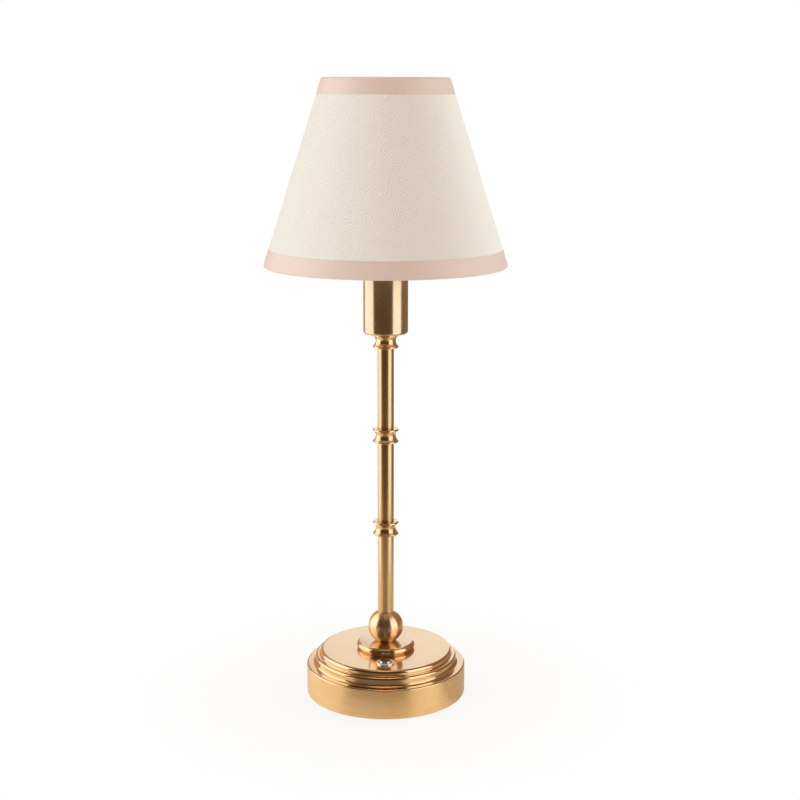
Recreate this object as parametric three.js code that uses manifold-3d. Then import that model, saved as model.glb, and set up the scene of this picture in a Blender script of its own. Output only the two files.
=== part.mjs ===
// Cordless table lamp: turned brass base and stem, and a linen shade that lifts off.
// Millimetres, +Z up, origin under the centre of the foot.
import * as THREE from 'three'
import { mergeVertices } from 'three/addons/utils/BufferGeometryUtils.js'
import Module from 'manifold-3d'

const wasm = await Module()
wasm.setup()

// Clearances
const slip = 0.3 // between pieces that slide over or stand beside each other
const bite = 1 // how far a cutting tool runs past the face that it cuts
const fuseDepth = 0.1 // how far shapes that are joined into one piece reach into each other

// Base
const baseRadius = 50
const baseWall = 1.8
const baseTop = 28.2 // height of the flat top
const topWall = 1.6
const footLift = 0.4 // height of the metal rim over the table
const footRound = 0.8
const shoulderHeight = 19.3
const shoulderRound = 1.2
const lowerStepInset = 5.4 // from the wall to the lower step
const lowerStepHeight = 24.8
const lowerStepRound = 2
const lowerStepCove = 1.3
const upperStepInset = 3.1 // from the lower step to the upper one
const upperStepRound = 2.6
const upperStepCove = 0.5
const padThickness = 1.4
const plateThickness = 2.2
const plateLedge = 0.9 // width of the ledge that the plate bears on

// Stem
const tubeRadius = 5
const rodRadius = 4
const rodBore = 2.6
const flangeRadius = 18.2
const flangeHeight = 4.7
const flangeBead = 1.9 // radius of the bead round the flange's side
const flangeRim = 0.8 // height of the sharp rim over the bead
const flangeGroove = 0.7 // depth of the groove between bead and rim
const ballRadius = 11.05
const ballSeatRadius = 5.6
const collarPitch = 59.1
const firstCollar = 102.65 // underside of the lowest collar
const collarHeight = 8.7
const collarLipRadius = 8
const collarWaistRadius = 6.15
const collarLip = 1.2
const collarEdge = 0.4 // chamfer of both lips

// Head
const cupRadius = 13.68
const cupWall = 1
const cupFloor = 1.6
const cupRound = 2
const cupHeight = 51.45
const washerRadius = 7.8
const washerThickness = 1
const cupNutAcross = 13
const cupNutHeight = 5
const rodEnd = 1.5 // how far the rod stands out of its nut
const holderWall = 1.8
const holderFloor = 2
const holderLedge = 1.9 // width of the ledge under the heat sink
const neckRadius = 11.7
const neckBevel = 0.5
const neckHeight = 9.5
const boardDepth = 4.5 // from the neck's top down to the heat sink's top
const lightBoardThickness = 1.2
const emitterWidth = 8
const emitterDepth = 5
const emitterThickness = 0.8
const emitterFront = 7.5 // of its front edge from the axis
const sinkHeight = 22
const sinkFloor = 2
const sinkFins = 12
const sinkFinThickness = 1
const sinkCoreShare = 0.45 // of the sink's radius
const domeRadius = 11.3
const domeWall = 1
const domeHeight = 20.5

// Shade
const shadeBottomRadius = 73.85
const shadeTopRadius = 38.1
const shadeHeight = 111.1
const shadeDrop = 10.3 // how far the lower rim hangs below the cup's rim
const fabricThickness = 0.5
const linerThickness = 0.5
const tapeThickness = 0.5
const topTapeWidth = 10
const bottomTapeWidth = 11
const rimWire = 1.25 // radius of the wire of both rims
const armWire = 1.3
const armCount = 3
const wireRest = 0.1 // between the rim wires and the liner's edge
const fitterRingRadius = 18.5
const fitterThickness = 1.6
const retainerRadius = 16.6
const retainerHeight = 6
const retainerFlutes = 18
const fluteDepth = 0.75

// Switch
const switchOffset = 28 // from the stem's axis to the front
const bezelRadius = 5.6
const bezelHeight = 1
const bezelRound = 0.6
const bezelBevel = 0.2
const bushRadius = 4.7
const bushLength = 8
const buttonRadius = 3.75
const buttonClearance = 0.2
const buttonRise = 1
const buttonRound = 0.8
const buttonDish = 0.15 // depth of the hollow in the button's top
const buttonLength = 4
const buttonStem = 1.5
const buttonFootRadius = 2.8
const buttonFootHeight = 1
const buttonFootPlay = 0.4 // between the foot and the roof over it
const switchTravel = 0.8
const switchBodyLength = 7
const switchWall = 1.1
const contactClearance = 0.8 // under the foot of a pressed button
const switchRoof = 1.4
const switchNutAcross = 12
const switchNutHeight = 2.2
const contactPinOffset = 1.6
const contactPinRadius = 0.5
const contactPinLength = 2.6
const springWire = 0.25
const springTurns = 4
const springTurnSteps = 8

// Cells, board and socket
const cellRadius = 9.2
const cellLength = 50
const cellOffset = 18.8
const cellNub = 1.2
const cellNubRadius = 3
const cellEdge = 0.5
const trayWall = 1.3
const trayFloor = 1
const trayHeight = 9
const channelHalf = 8.4
const trayChannelFloor = 1.2
const trayEndWall = 2.2
const contactThickness = 0.6
const contactLift = 2 // of the strip over the base plate
const contactBar = 2.4 // height of the strip's low middle
const contactReach = 1.4 // of the strip's pads over the cell's axis
const contactInset = 2 // of the strip's ends from the cell's side
const ballastHeight = 12
const boardWidth = 26
const boardMargin = 2.7 // from the board's rear edge to the wall
const boardThickness = 1.2
const boardLift = 4.4
const boardEdge = 0.7 // bare edge of the board beside its parts
const boardRib = 2.5 // width of the ribs under the board
const regulatorSize = [5, 1.2] // length and height over the board
const chokeSize = [4, 2.4]
const socketWidth = 8.94
const socketHeight = 3.26
const socketLength = 7.3
const socketWall = 0.3
const socketBack = 1.5
const tongueWidth = 6.6
const tongueThickness = 0.7
const socketRecess = 0.7 // how far the socket's mouth lies inside the wall's outer face
const bossRadius = 3
const screwRadius = 1.5
const screwHeadRadius = 2.8
const screwLength = 8
const leadRadius = 0.8
const lampLeadRadius = 1.1
const leadBend = 9 // length in which a lead climbs over the rear contact
const rodSlotWidth = 3.8
const rodSlotLength = 12

// Number of sides of round pieces
const wideSides = 36
const flangeSides = 24
const stemSides = 20
const switchSides = 16
const cellSides = 16
const hiddenSides = 12
const smallSides = 8
const leadSides = 5
const wireSides = 6

// Levels worked out from the sizes above
const plateTop = padThickness + plateThickness
const baseInner = baseRadius - baseWall
const lowerStepRadius = baseRadius - lowerStepInset
const upperStepRadius = lowerStepRadius - upperStepInset
const flangeTop = baseTop + flangeHeight
const ballCentre = flangeTop + Math.sqrt(ballRadius ** 2 - ballSeatRadius ** 2)
const ballTop = ballCentre + Math.sqrt(ballRadius ** 2 - tubeRadius ** 2)
const cupBottom = firstCollar + 2 * collarPitch + collarHeight
const cupRim = cupBottom + cupHeight
const cupBore = cupRadius - cupWall
const nutSeat = cupFloor + holderFloor + washerThickness // over the cup's underside
const cellCentre = plateTop + trayFloor + slip + cellRadius
const trayHalfLength = cellLength / 2 + contactThickness + slip + trayEndWall
const trayHalfWidth = cellOffset + cellRadius + slip + trayWall
const trayTop = plateTop + trayHeight
const channelFloor = plateTop + trayChannelFloor
const ballastChord = trayHalfWidth + 1
const ballastRadius = baseInner - 3 * slip
const boardFront = trayHalfLength + slip
const boardRear = baseInner - boardMargin
const boardFace = plateTop + boardLift + boardThickness
const switchSeat = baseTop + bezelHeight - bushLength

// Finishes of the plain model
const finishes = {
  brass: { color: '#c9964f', roughness: 0.18, metalness: 1 },
  chrome: { color: '#d9dadc', roughness: 0.12, metalness: 1 },
  steel: { color: '#a3a6aa', roughness: 0.4, metalness: 1 },
  iron: { color: '#4a4c50', roughness: 0.7, metalness: 0.6 },
  felt: { color: '#3a3431', roughness: 0.95, metalness: 0 },
  black: { color: '#26282b', roughness: 0.55, metalness: 0 },
  white: { color: '#e9e7e1', roughness: 0.5, metalness: 0 },
  board: { color: '#2b6a45', roughness: 0.5, metalness: 0 },
  cell: { color: '#4f8fb3', roughness: 0.4, metalness: 0 },
  aluminium: { color: '#c4c7ca', roughness: 0.45, metalness: 1 },
  opal: { color: '#f6f1e4', roughness: 0.35, metalness: 0 },
  emitter: { color: '#f2d36a', roughness: 0.4, metalness: 0 },
  linen: { color: '#e9e1d3', roughness: 0.9, metalness: 0 },
  liner: { color: '#f3f0ea', roughness: 0.6, metalness: 0 },
  tape: { color: '#e0c5b5', roughness: 0.85, metalness: 0 },
}

// Vertices that share a place are joined, and triangles left without area are dropped.
function welded(geometry) {
  const bare = geometry.clone()
  bare.deleteAttribute('normal')
  bare.deleteAttribute('uv')
  const merged = mergeVertices(bare, 1e-4)
  const index = merged.getIndex().array
  const kept = []
  for (let i = 0; i < index.length; i += 3) {
    const corners = [index[i], index[i + 1], index[i + 2]]
    if (new Set(corners).size === 3) kept.push(...corners)
  }
  merged.setIndex(kept)
  merged.computeVertexNormals()
  return merged
}

function toSolid(geometry) {
  const merged = welded(geometry)
  const vertProperties = merged.getAttribute('position').array
  const triVerts = Uint32Array.from(merged.getIndex().array)
  return new wasm.Manifold(new wasm.Mesh({ numProp: 3, vertProperties, triVerts }))
}

function fromSolid(solid) {
  const mesh = solid.getMesh()
  const geometry = new THREE.BufferGeometry()
  geometry.setAttribute('position', new THREE.BufferAttribute(mesh.vertProperties, 3))
  geometry.setIndex(new THREE.BufferAttribute(mesh.triVerts, 1))
  geometry.computeVertexNormals()
  return geometry
}

// Joins the added shapes, then takes the cutters away.
function shaped(added, cutters = []) {
  let result = toSolid(added[0])
  for (const geometry of added.slice(1)) result = result.add(toSolid(geometry))
  for (const geometry of cutters) result = result.subtract(toSolid(geometry))
  return fromSolid(result)
}

// A body turned about Z from an outline of [radius, height] pairs. An outline off the axis is closed.
function turned(outline, sides) {
  const twiceArea = outline.reduce((sum, [r, z], i) => {
    const [nextR, nextZ] = outline[(i + 1) % outline.length]
    return sum + r * nextZ - nextR * z
  }, 0)
  const ordered = twiceArea > 0 ? outline : [...outline].reverse()
  const points = ordered.map(([r, z]) => new THREE.Vector2(r, z))
  const onAxis = points[0].x === 0 && points.at(-1).x === 0
  if (!onAxis) points.push(points[0].clone())
  return welded(new THREE.LatheGeometry(points, sides).rotateX(Math.PI / 2))
}

// Points of an arc in the outline's plane, from one angle to another in degrees.
function arc(centreR, centreZ, radius, from, to, steps) {
  return Array.from({ length: steps + 1 }, (unused, i) => {
    const angle = THREE.MathUtils.degToRad(from + ((to - from) * i) / steps)
    return [centreR + radius * Math.cos(angle), centreZ + radius * Math.sin(angle)]
  })
}

function ringBody(inner, outer, bottom, top, sides) {
  return turned([[inner, bottom], [outer, bottom], [outer, top], [inner, top]], sides)
}

function discBody(radius, bottom, top, sides) {
  return turned([[0, bottom], [radius, bottom], [radius, top], [0, top]], sides)
}

function box(low, high) {
  const size = high.map((value, i) => value - low[i])
  const centre = high.map((value, i) => (value + low[i]) / 2)
  return new THREE.BoxGeometry(...size).translate(...centre)
}

// A flat outline of [x, y] pairs raised along Z.
function raised(outline, bottom, top, holes = []) {
  const shape = new THREE.Shape(outline.map(([x, y]) => new THREE.Vector2(x, y)))
  shape.holes = holes.map((hole) => new THREE.Path(hole.map(([x, y]) => new THREE.Vector2(x, y))))
  const settings = { depth: top - bottom, bevelEnabled: false }
  return new THREE.ExtrudeGeometry(shape, settings).translate(0, 0, bottom)
}

function circlePoints(radius, sides) {
  return Array.from({ length: sides }, (unused, i) => {
    const angle = (2 * Math.PI * i) / sides
    return [radius * Math.cos(angle), radius * Math.sin(angle)]
  })
}

function hexNut(across, bore, height) {
  const corner = across / Math.sqrt(3)
  return raised(circlePoints(corner, 6), 0, height, [circlePoints(bore, hiddenSides)])
}

// A round tube along a smooth line through the given points.
function tubeAlong(points, radius, steps, sides) {
  const path = new THREE.CatmullRomCurve3(points.map((point) => new THREE.Vector3(...point)))
  const shape = new THREE.Shape(circlePoints(radius, sides).map(([x, y]) => new THREE.Vector2(x, y)))
  return new THREE.ExtrudeGeometry(shape, { steps, extrudePath: path, bevelEnabled: false })
}

function piece(name, geometry, finish) {
  const mesh = new THREE.Mesh(geometry, new THREE.MeshStandardMaterial(finishes[finish]))
  mesh.name = name
  return mesh
}

function assembly(height, ...members) {
  const group = new THREE.Group()
  group.position.z = height
  group.add(...members)
  return group
}

// Base

function baseShell() {
  const foot = arc(baseRadius - footRound, footLift + footRound, footRound, -90, 0, 1)
  const shoulder = arc(baseRadius - shoulderRound, shoulderHeight - shoulderRound, shoulderRound, 0, 90, 2)
  const lowerCoveR = lowerStepRadius + lowerStepCove
  const lowerCove = arc(lowerCoveR, shoulderHeight + lowerStepCove, lowerStepCove, 270, 180, 2)
  const lowerRoundZ = lowerStepHeight - lowerStepRound
  const lowerRound = arc(lowerStepRadius - lowerStepRound, lowerRoundZ, lowerStepRound, 0, 90, 3)
  const upperCoveZ = lowerStepHeight + upperStepCove
  const upperCove = arc(upperStepRadius + upperStepCove, upperCoveZ, upperStepCove, 270, 180, 1)
  const upperRoundZ = baseTop - upperStepRound
  const upperRound = arc(upperStepRadius - upperStepRound, upperRoundZ, upperStepRound, 0, 90, 3)
  const bore = rodRadius + slip
  const outside = [...foot, ...shoulder, ...lowerCove, ...lowerRound, ...upperCove, ...upperRound]
  const inside = [
    [bore, baseTop],
    [bore, baseTop - topWall],
    [upperStepRadius - topWall, baseTop - topWall],
    [upperStepRadius - topWall, lowerStepHeight - topWall],
    [lowerStepRadius - topWall, lowerStepHeight - topWall],
    [lowerStepRadius - topWall, shoulderHeight - topWall],
    [baseInner, shoulderHeight - topWall],
    [baseInner, plateTop],
    [baseRadius - plateLedge, plateTop],
    [baseRadius - plateLedge, footLift],
  ]
  const switchHole = discBody(bushRadius + slip, baseTop - topWall - bite, baseTop + bite, switchSides)
  switchHole.translate(0, -switchOffset, 0)
  const slotWidth = socketWidth + 2 * slip
  const slotHeight = socketHeight + 2 * slip
  const socketSlot = roundedBar(slotWidth, slotHeight, baseInner - 2 * bite, baseRadius + bite)
  socketSlot.translate(0, 0, socketCentre())
  return shaped([turned([...outside, ...inside], wideSides)], [switchHole, socketSlot])
}

function socketCentre() {
  return boardFace + socketHeight / 2
}

// A bar with round ends across X, from one Y to another, centred on the XY plane.
function roundedBar(width, height, from, to) {
  const radius = height / 2
  const reach = width / 2 - radius
  const right = arc(reach, 0, radius, -90, 90, 6)
  const left = arc(-reach, 0, radius, 90, 270, 6)
  return raised([...right, ...left], 0, to - from).rotateX(Math.PI / 2).translate(0, to, 0)
}

// The tray's screws stand in bosses at its four corners, the weights' screws in their middle.
const screwX = trayHalfWidth - 2 * bossRadius
const screwY = trayHalfLength + 0.6 * bossRadius
const screwPlaces = [
  [screwX, screwY],
  [-screwX, screwY],
  [screwX, -screwY],
  [-screwX, -screwY],
]
const ballastMiddle = (ballastChord + ballastRadius) / 2
const ballastPlaces = [
  [ballastMiddle, 0],
  [-ballastMiddle, 0],
]

function basePlate() {
  const radius = baseRadius - plateLedge - slip
  const countersink = screwHeadRadius - screwRadius
  const cutters = [...screwPlaces, ...ballastPlaces].map(([x, y]) => {
    const outline = [
      [0, padThickness - bite],
      [screwHeadRadius + slip, padThickness - bite],
      [screwHeadRadius + slip, padThickness],
      [screwRadius + slip, padThickness + countersink],
      [screwRadius + slip, plateTop + bite],
      [0, plateTop + bite],
    ]
    return turned(outline, smallSides).translate(x, y, 0)
  })
  return shaped([discBody(radius, padThickness, plateTop, wideSides)], cutters)
}

function plateScrew([x, y]) {
  const countersink = screwHeadRadius - screwRadius
  const outline = [
    [0, 0],
    [screwHeadRadius, 0],
    [screwRadius, countersink],
    [screwRadius, screwLength],
    [0, screwLength],
  ]
  return turned(outline, smallSides).translate(x, y, padThickness)
}

function ballastWeight(side) {
  const halfAngle = Math.acos(ballastChord / ballastRadius)
  const steps = 10
  const outline = Array.from({ length: steps + 1 }, (unused, i) => {
    const angle = -halfAngle + (2 * halfAngle * i) / steps
    return [ballastRadius * Math.cos(angle), ballastRadius * Math.sin(angle)]
  })
  const body = raised(outline, plateTop, plateTop + ballastHeight)
  const depth = padThickness + screwLength + 2 * slip
  const hole = discBody(screwRadius + slip, plateTop - bite, depth, smallSides)
  hole.translate(ballastMiddle, 0, 0)
  return fromSolid(toSolid(body).subtract(toSolid(hole))).rotateZ(side > 0 ? 0 : Math.PI)
}

// Moulded tray: a block with two troughs, a wire channel, screw bosses and two ribs under the board.
function batteryTray() {
  const block = box([-trayHalfWidth, -trayHalfLength, plateTop], [trayHalfWidth, trayHalfLength, trayTop])
  const bosses = screwPlaces.map(([x, y]) => {
    return discBody(bossRadius, plateTop, trayTop, smallSides).translate(x, y, 0)
  })
  const ribHalf = boardWidth / 2 - 1
  const ribs = [-1, 1].map((side) => {
    const inner = side * (ribHalf - boardRib)
    const outer = side * ribHalf
    const low = [Math.min(inner, outer), trayHalfLength - bite, plateTop]
    const high = [Math.max(inner, outer), boardRear - bite, plateTop + boardLift]
    return box(low, high)
  })
  const pocketHalf = cellLength / 2 + contactThickness + slip
  const troughs = [-1, 1].map((side) => {
    const trough = discBody(cellRadius + slip, -pocketHalf, pocketHalf, cellSides)
    return trough.rotateX(Math.PI / 2).translate(side * cellOffset, 0, cellCentre)
  })
  const channelEnd = trayHalfLength + bite
  const channel = box([-channelHalf, -channelEnd, channelFloor], [channelHalf, channelEnd, trayTop + bite])
  const contactHalf = contactHalfWidth() + slip
  const slots = [-1, 1].map((side) => {
    const near = side * (pocketHalf - contactThickness - 2 * slip)
    const far = side * pocketHalf
    const low = [-contactHalf, Math.min(near, far), contactBottom() - slip]
    return box(low, [contactHalf, Math.max(near, far), trayTop + bite])
  })
  const bushHole = discBody(rodBushRadius + slip, plateTop - bite, channelFloor + bite, hiddenSides)
  const screwHoles = screwPlaces.map(([x, y]) => {
    const top = padThickness + screwLength + 2 * slip
    return discBody(screwRadius + slip, plateTop - bite, top, smallSides).translate(x, y, 0)
  })
  return shaped([block, ...bosses, ...ribs], [...troughs, channel, ...slots, bushHole, ...screwHoles])
}

function contactHalfWidth() {
  return cellOffset + cellRadius - contactInset
}

function contactBottom() {
  return plateTop + contactLift
}

// A pressed strip: one pad on each cell's end, joined by a low bar under the leads.
function contactStrip(place) {
  const barTop = contactBottom() + contactBar
  const padTop = cellCentre + contactReach
  const inner = channelHalf + trayWall + 2
  const outer = contactHalfWidth()
  const outline = [
    [-outer, contactBottom()],
    [outer, contactBottom()],
    [outer, padTop],
    [inner, padTop],
    [inner, barTop],
    [-inner, barTop],
    [-inner, padTop],
    [-outer, padTop],
  ]
  return raised(outline, 0, contactThickness).rotateX(Math.PI / 2).translate(0, place, 0)
}

function batteryCell() {
  const half = cellLength / 2
  const shoulder = half - cellNub
  const outline = [
    [0, -half],
    [cellRadius - cellEdge, -half],
    [cellRadius, -half + cellEdge],
    [cellRadius, shoulder - cellEdge],
    [cellRadius - cellEdge, shoulder],
    [cellNubRadius, shoulder],
    [cellNubRadius, half],
    [0, half],
  ]
  return turned(outline, cellSides).rotateX(-Math.PI / 2)
}

function controlBoard() {
  const outer = boardWidth / 2 - boardEdge
  const inner = channelHalf + 2 * slip
  const low = [-boardWidth / 2, boardFront, plateTop + boardLift]
  const board = box(low, [boardWidth / 2, boardRear, boardFace])
  const parts = [regulatorSize, chokeSize].map(([length, height], i) => {
    const [left, right] = i === 0 ? [-outer, -inner] : [inner, outer]
    const near = boardFront + 1
    return box([left, near, boardFace - fuseDepth], [right, near + length, boardFace + height])
  })
  return shaped([board, ...parts])
}

function chargeSocket() {
  const mouth = baseRadius - socketRecess
  const back = mouth - socketLength
  const shell = roundedBar(socketWidth, socketHeight, back, mouth)
  const innerWidth = socketWidth - 2 * socketWall
  const innerHeight = socketHeight - 2 * socketWall
  const hollow = roundedBar(innerWidth, innerHeight, back + socketBack, mouth + bite)
  const tongueLow = [-tongueWidth / 2, back + bite, -tongueThickness / 2]
  const tongue = box(tongueLow, [tongueWidth / 2, mouth - bite, tongueThickness / 2])
  const open = toSolid(shell).subtract(toSolid(hollow)).add(toSolid(tongue))
  return fromSolid(open).translate(0, 0, socketCentre())
}

// Switch, on its own axis, heights from its seat on the body

function switchBezel() {
  const bore = buttonRadius + buttonClearance
  const top = bushLength
  const under = top - bezelHeight
  const edge = arc(bezelRadius - bezelRound, top - bezelRound, bezelRound, 0, 90, 2)
  const outline = [
    [bore, 0],
    [bushRadius, 0],
    [bushRadius, under],
    [bezelRadius, under],
    ...edge,
    [bore + bezelBevel, top],
    [bore, top - bezelBevel],
  ]
  return turned(outline, switchSides)
}

function switchButton() {
  const top = bushLength + buttonRise
  const under = top - buttonLength
  const footTop = -switchRoof - buttonFootPlay
  const foot = footTop - buttonFootHeight
  const outline = [
    [0, foot],
    [buttonFootRadius, foot],
    [buttonFootRadius, footTop],
    [buttonStem, footTop],
    [buttonStem, under],
    [buttonRadius, under],
    ...arc(buttonRadius - buttonRound, top - buttonRound, buttonRound, 0, 90, 2),
    [0, top - buttonDish],
  ]
  return turned(outline, switchSides)
}

function switchBody() {
  const cavity = bushRadius - switchWall
  const outline = [
    [buttonStem + slip, 0],
    [bushRadius, 0],
    [bushRadius, -switchBodyLength],
    [cavity, -switchBodyLength],
    [cavity, -switchRoof],
    [buttonStem + slip, -switchRoof],
  ]
  return turned(outline, hiddenSides)
}

function contactBlock() {
  const radius = bushRadius - switchWall - slip
  const blockTop = -switchRoof - buttonFootPlay - buttonFootHeight - switchTravel - contactClearance
  const block = discBody(radius, -switchBodyLength, blockTop, hiddenSides)
  const low = -switchBodyLength - contactPinLength
  const pins = [-1, 1].map((side) => {
    return discBody(contactPinRadius, low, blockTop - 1, smallSides).translate(side * contactPinOffset, 0, 0)
  })
  return shaped([block, ...pins])
}

function returnSpring() {
  const bottom = slip + springWire
  const top = bushLength + buttonRise - buttonLength - slip - springWire
  const radius = (buttonStem + buttonRadius) / 2
  const count = springTurns * springTurnSteps
  const points = Array.from({ length: count + 1 }, (unused, i) => {
    const angle = (2 * Math.PI * i) / springTurnSteps
    const height = bottom + ((top - bottom) * i) / count
    return [radius * Math.cos(angle), radius * Math.sin(angle), height]
  })
  return tubeAlong(points, springWire, count, leadSides)
}

function pressSwitch() {
  const nut = hexNut(switchNutAcross, bushRadius + slip, switchNutHeight)
  nut.translate(0, 0, baseTop - topWall - switchNutHeight - switchSeat)
  const group = assembly(
    switchSeat,
    piece('switch_bezel', switchBezel(), 'chrome'),
    piece('switch_button', switchButton(), 'chrome'),
    piece('switch_nut', nut, 'steel'),
    piece('switch_body', switchBody(), 'black'),
    piece('switch_contact_block', contactBlock(), 'white'),
    piece('switch_spring', returnSpring(), 'steel'),
  )
  group.position.y = -switchOffset
  return group
}

// Leads inside the base and the stem

const rodBushRadius = 5.8
const rodBushHeight = 6
const rodSlotLow = plateTop + rodBushHeight + 4 * slip

// The last stretch of a lead: up over the rear contact and down on the board.
function leadToBoard(side, low) {
  const over = boardFace + slip + leadRadius
  return [
    [side, boardFront - 2 * leadBend, low],
    [side, boardFront - leadBend, (low + over) / 2],
    [side, boardFront - leadBend / 3, over + 2 * slip],
    [side, boardFront + leadBend / 6, over + 2 * slip],
    [side, boardFront + 0.4 * leadBend, boardFace + slip + 0.8 * leadRadius],
  ]
}

function cellLead() {
  const side = channelHalf - 2 * slip - leadRadius
  const low = channelFloor + slip + leadRadius
  const points = [
    [side, -cellLength / 2 + slip, low + slip],
    [side, -cellLength / 2 + leadBend, low],
    [side, 0, low],
    ...leadToBoard(side, low),
  ]
  return tubeAlong(points, leadRadius, 20, leadSides)
}

function switchLead() {
  const side = -(channelHalf - 2 * slip - leadRadius)
  const low = channelFloor + slip + leadRadius
  const start = switchSeat - switchBodyLength - contactPinLength - slip
  const over = -(cellLength + contactThickness) / 2
  const points = [
    [-contactPinOffset, -switchOffset, start],
    [-contactPinOffset, -switchOffset + 0.4 * leadRadius, start - 1.4 * leadRadius],
    [-contactPinOffset - leadRadius, over, start - 2.2 * leadRadius],
    [side + 3.5 * leadRadius, over + 0.7 * leadBend, low + 2 * leadRadius],
    [side + leadRadius, over + 1.4 * leadBend, low + 0.5 * leadRadius],
    [side, -rodBushRadius, low],
    [side, 0, low],
    ...leadToBoard(side, low),
  ]
  return tubeAlong(points, leadRadius, 24, leadSides)
}

function lampLead() {
  const start = boardFace + slip + lampLeadRadius
  const slotMiddle = rodSlotLow + rodSlotLength / 3
  const end = cupRim - 3 * lampLeadRadius
  const points = [
    [0, boardFront + leadBend / 3, start],
    [0, boardFront - leadBend / 2, start + slip],
    [0, 4 * rodRadius, slotMiddle - lampLeadRadius],
    [0, 2 * rodRadius, slotMiddle - slip],
    [0, 0.6 * rodRadius, slotMiddle + rodRadius],
    [0, 0, slotMiddle + rodSlotLength],
    [0, 0, slotMiddle + 3 * rodSlotLength],
    [0, 0, (slotMiddle + end) / 2],
    [0, 0, end],
  ]
  return tubeAlong(points, lampLeadRadius, 36, leadSides)
}

// Stem

function rodBush() {
  return ringBody(rodRadius + slip, rodBushRadius, plateTop, plateTop + rodBushHeight, hiddenSides)
}

function tieRod() {
  const bottom = plateTop + slip
  const top = cupBottom + nutSeat + cupNutHeight + rodEnd
  const half = rodSlotWidth / 2
  const slot = box([-half, 0, rodSlotLow], [half, rodRadius + bite, rodSlotLow + rodSlotLength])
  return shaped([ringBody(rodBore, rodRadius, bottom, top, hiddenSides)], [slot])
}

function stemFlange() {
  const bead = arc(flangeRadius - flangeBead, flangeBead, flangeBead, -50, 45, 3)
  const rimBottom = flangeHeight - flangeRim
  const edge = flangeRim / 5
  const outline = [
    [rodRadius + slip, 0],
    [bead[0][0] - edge, 0],
    ...bead,
    [flangeRadius - flangeGroove, rimBottom - 2 * edge],
    [flangeRadius, rimBottom],
    [flangeRadius, flangeHeight - edge],
    [flangeRadius - edge, flangeHeight],
    [rodRadius + slip, flangeHeight],
  ]
  return turned(outline, flangeSides)
}

function stemBall() {
  const low = -THREE.MathUtils.radToDeg(Math.acos(ballSeatRadius / ballRadius))
  const high = THREE.MathUtils.radToDeg(Math.acos(tubeRadius / ballRadius))
  const bore = rodRadius + slip
  const surface = arc(0, 0, ballRadius, low, high, 9)
  return turned([[bore, surface[0][1]], ...surface, [bore, surface.at(-1)[1]]], stemSides)
}

function spoolCollar() {
  const half = collarHeight / 2
  const mouth = collarLipRadius - collarEdge / 2
  const depth = mouth - collarWaistRadius
  const cove = half - collarLip
  const lip = arc(collarLipRadius - collarEdge, -half + collarEdge, collarEdge, -90, 0, 1)
  const steps = 5
  const hollow = Array.from({ length: steps + 1 }, (unused, i) => {
    const angle = (Math.PI * i) / steps
    return [mouth - depth * Math.sin(angle), -cove * Math.cos(angle)]
  })
  const upperLip = lip.map(([r, z]) => [r, -z]).reverse()
  const bore = rodRadius + slip
  return turned([[bore, -half], ...lip, ...hollow, ...upperLip, [bore, half]], stemSides)
}

function stemTube(length) {
  return ringBody(rodRadius + slip, tubeRadius, 0, length, stemSides)
}

// Head, heights from the underside of the cup

function socketCup() {
  const outline = [
    [rodRadius + slip, 0],
    ...arc(cupRadius - cupRound, cupRound, cupRound, -90, 0, 3),
    [cupRadius, cupHeight],
    [cupBore, cupHeight],
    [cupBore, cupFloor],
    [rodRadius + slip, cupFloor],
  ]
  return turned(outline, stemSides)
}

const holderRadius = cupBore - slip - 0.07
const holderBore = holderRadius - holderWall
const holderShoulder = cupHeight - slip
const neckTop = cupHeight + neckHeight
const boardSeat = neckTop - boardDepth

function holderTube() {
  const ledge = boardSeat - sinkHeight
  const outline = [
    [rodRadius + slip, cupFloor],
    [holderRadius, cupFloor],
    [holderRadius, holderShoulder],
    [neckRadius, holderShoulder],
    [neckRadius, neckTop - neckBevel],
    [neckRadius - neckBevel, neckTop],
    [holderBore, neckTop],
    [holderBore, ledge],
    [holderBore - holderLedge, ledge],
    [holderBore, ledge - holderLedge],
    [holderBore, cupFloor + holderFloor],
    [rodRadius + slip, cupFloor + holderFloor],
  ]
  return turned(outline, stemSides)
}

// Extruded sink: radial fins round a core, under a round seat for the light board.
function heatSink() {
  const outer = holderBore - slip
  const core = outer * sinkCoreShare
  const finHalf = sinkFinThickness / 2
  const outline = []
  for (let i = 0; i < sinkFins; i += 1) {
    const angle = (2 * Math.PI * i) / sinkFins
    const rootTurn = Math.PI / sinkFins
    const tip = finHalf / outer
    const root = finHalf / core
    outline.push(
      [core * Math.cos(angle - root), core * Math.sin(angle - root)],
      [outer * Math.cos(angle - tip), outer * Math.sin(angle - tip)],
      [outer * Math.cos(angle + tip), outer * Math.sin(angle + tip)],
      [core * Math.cos(angle + root), core * Math.sin(angle + root)],
      [core * Math.cos(angle + rootTurn), core * Math.sin(angle + rootTurn)],
    )
  }
  const fins = raised(outline, boardSeat - sinkHeight, boardSeat - sinkFloor + fuseDepth)
  const seat = discBody(outer, boardSeat - sinkFloor, boardSeat, hiddenSides)
  const bore = discBody(lampLeadRadius + slip, boardSeat - sinkHeight - bite, boardSeat + bite, smallSides)
  return shaped([fins, seat], [bore])
}

function lightBoard() {
  const outer = holderBore - 2 * slip
  return ringBody(lampLeadRadius + slip, outer, boardSeat, boardSeat + lightBoardThickness, hiddenSides)
}

function lightEmitter() {
  const low = boardSeat + lightBoardThickness
  const back = emitterDepth - emitterFront
  return box([-emitterWidth / 2, -emitterFront, low], [emitterWidth / 2, back, low + emitterThickness])
}

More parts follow.
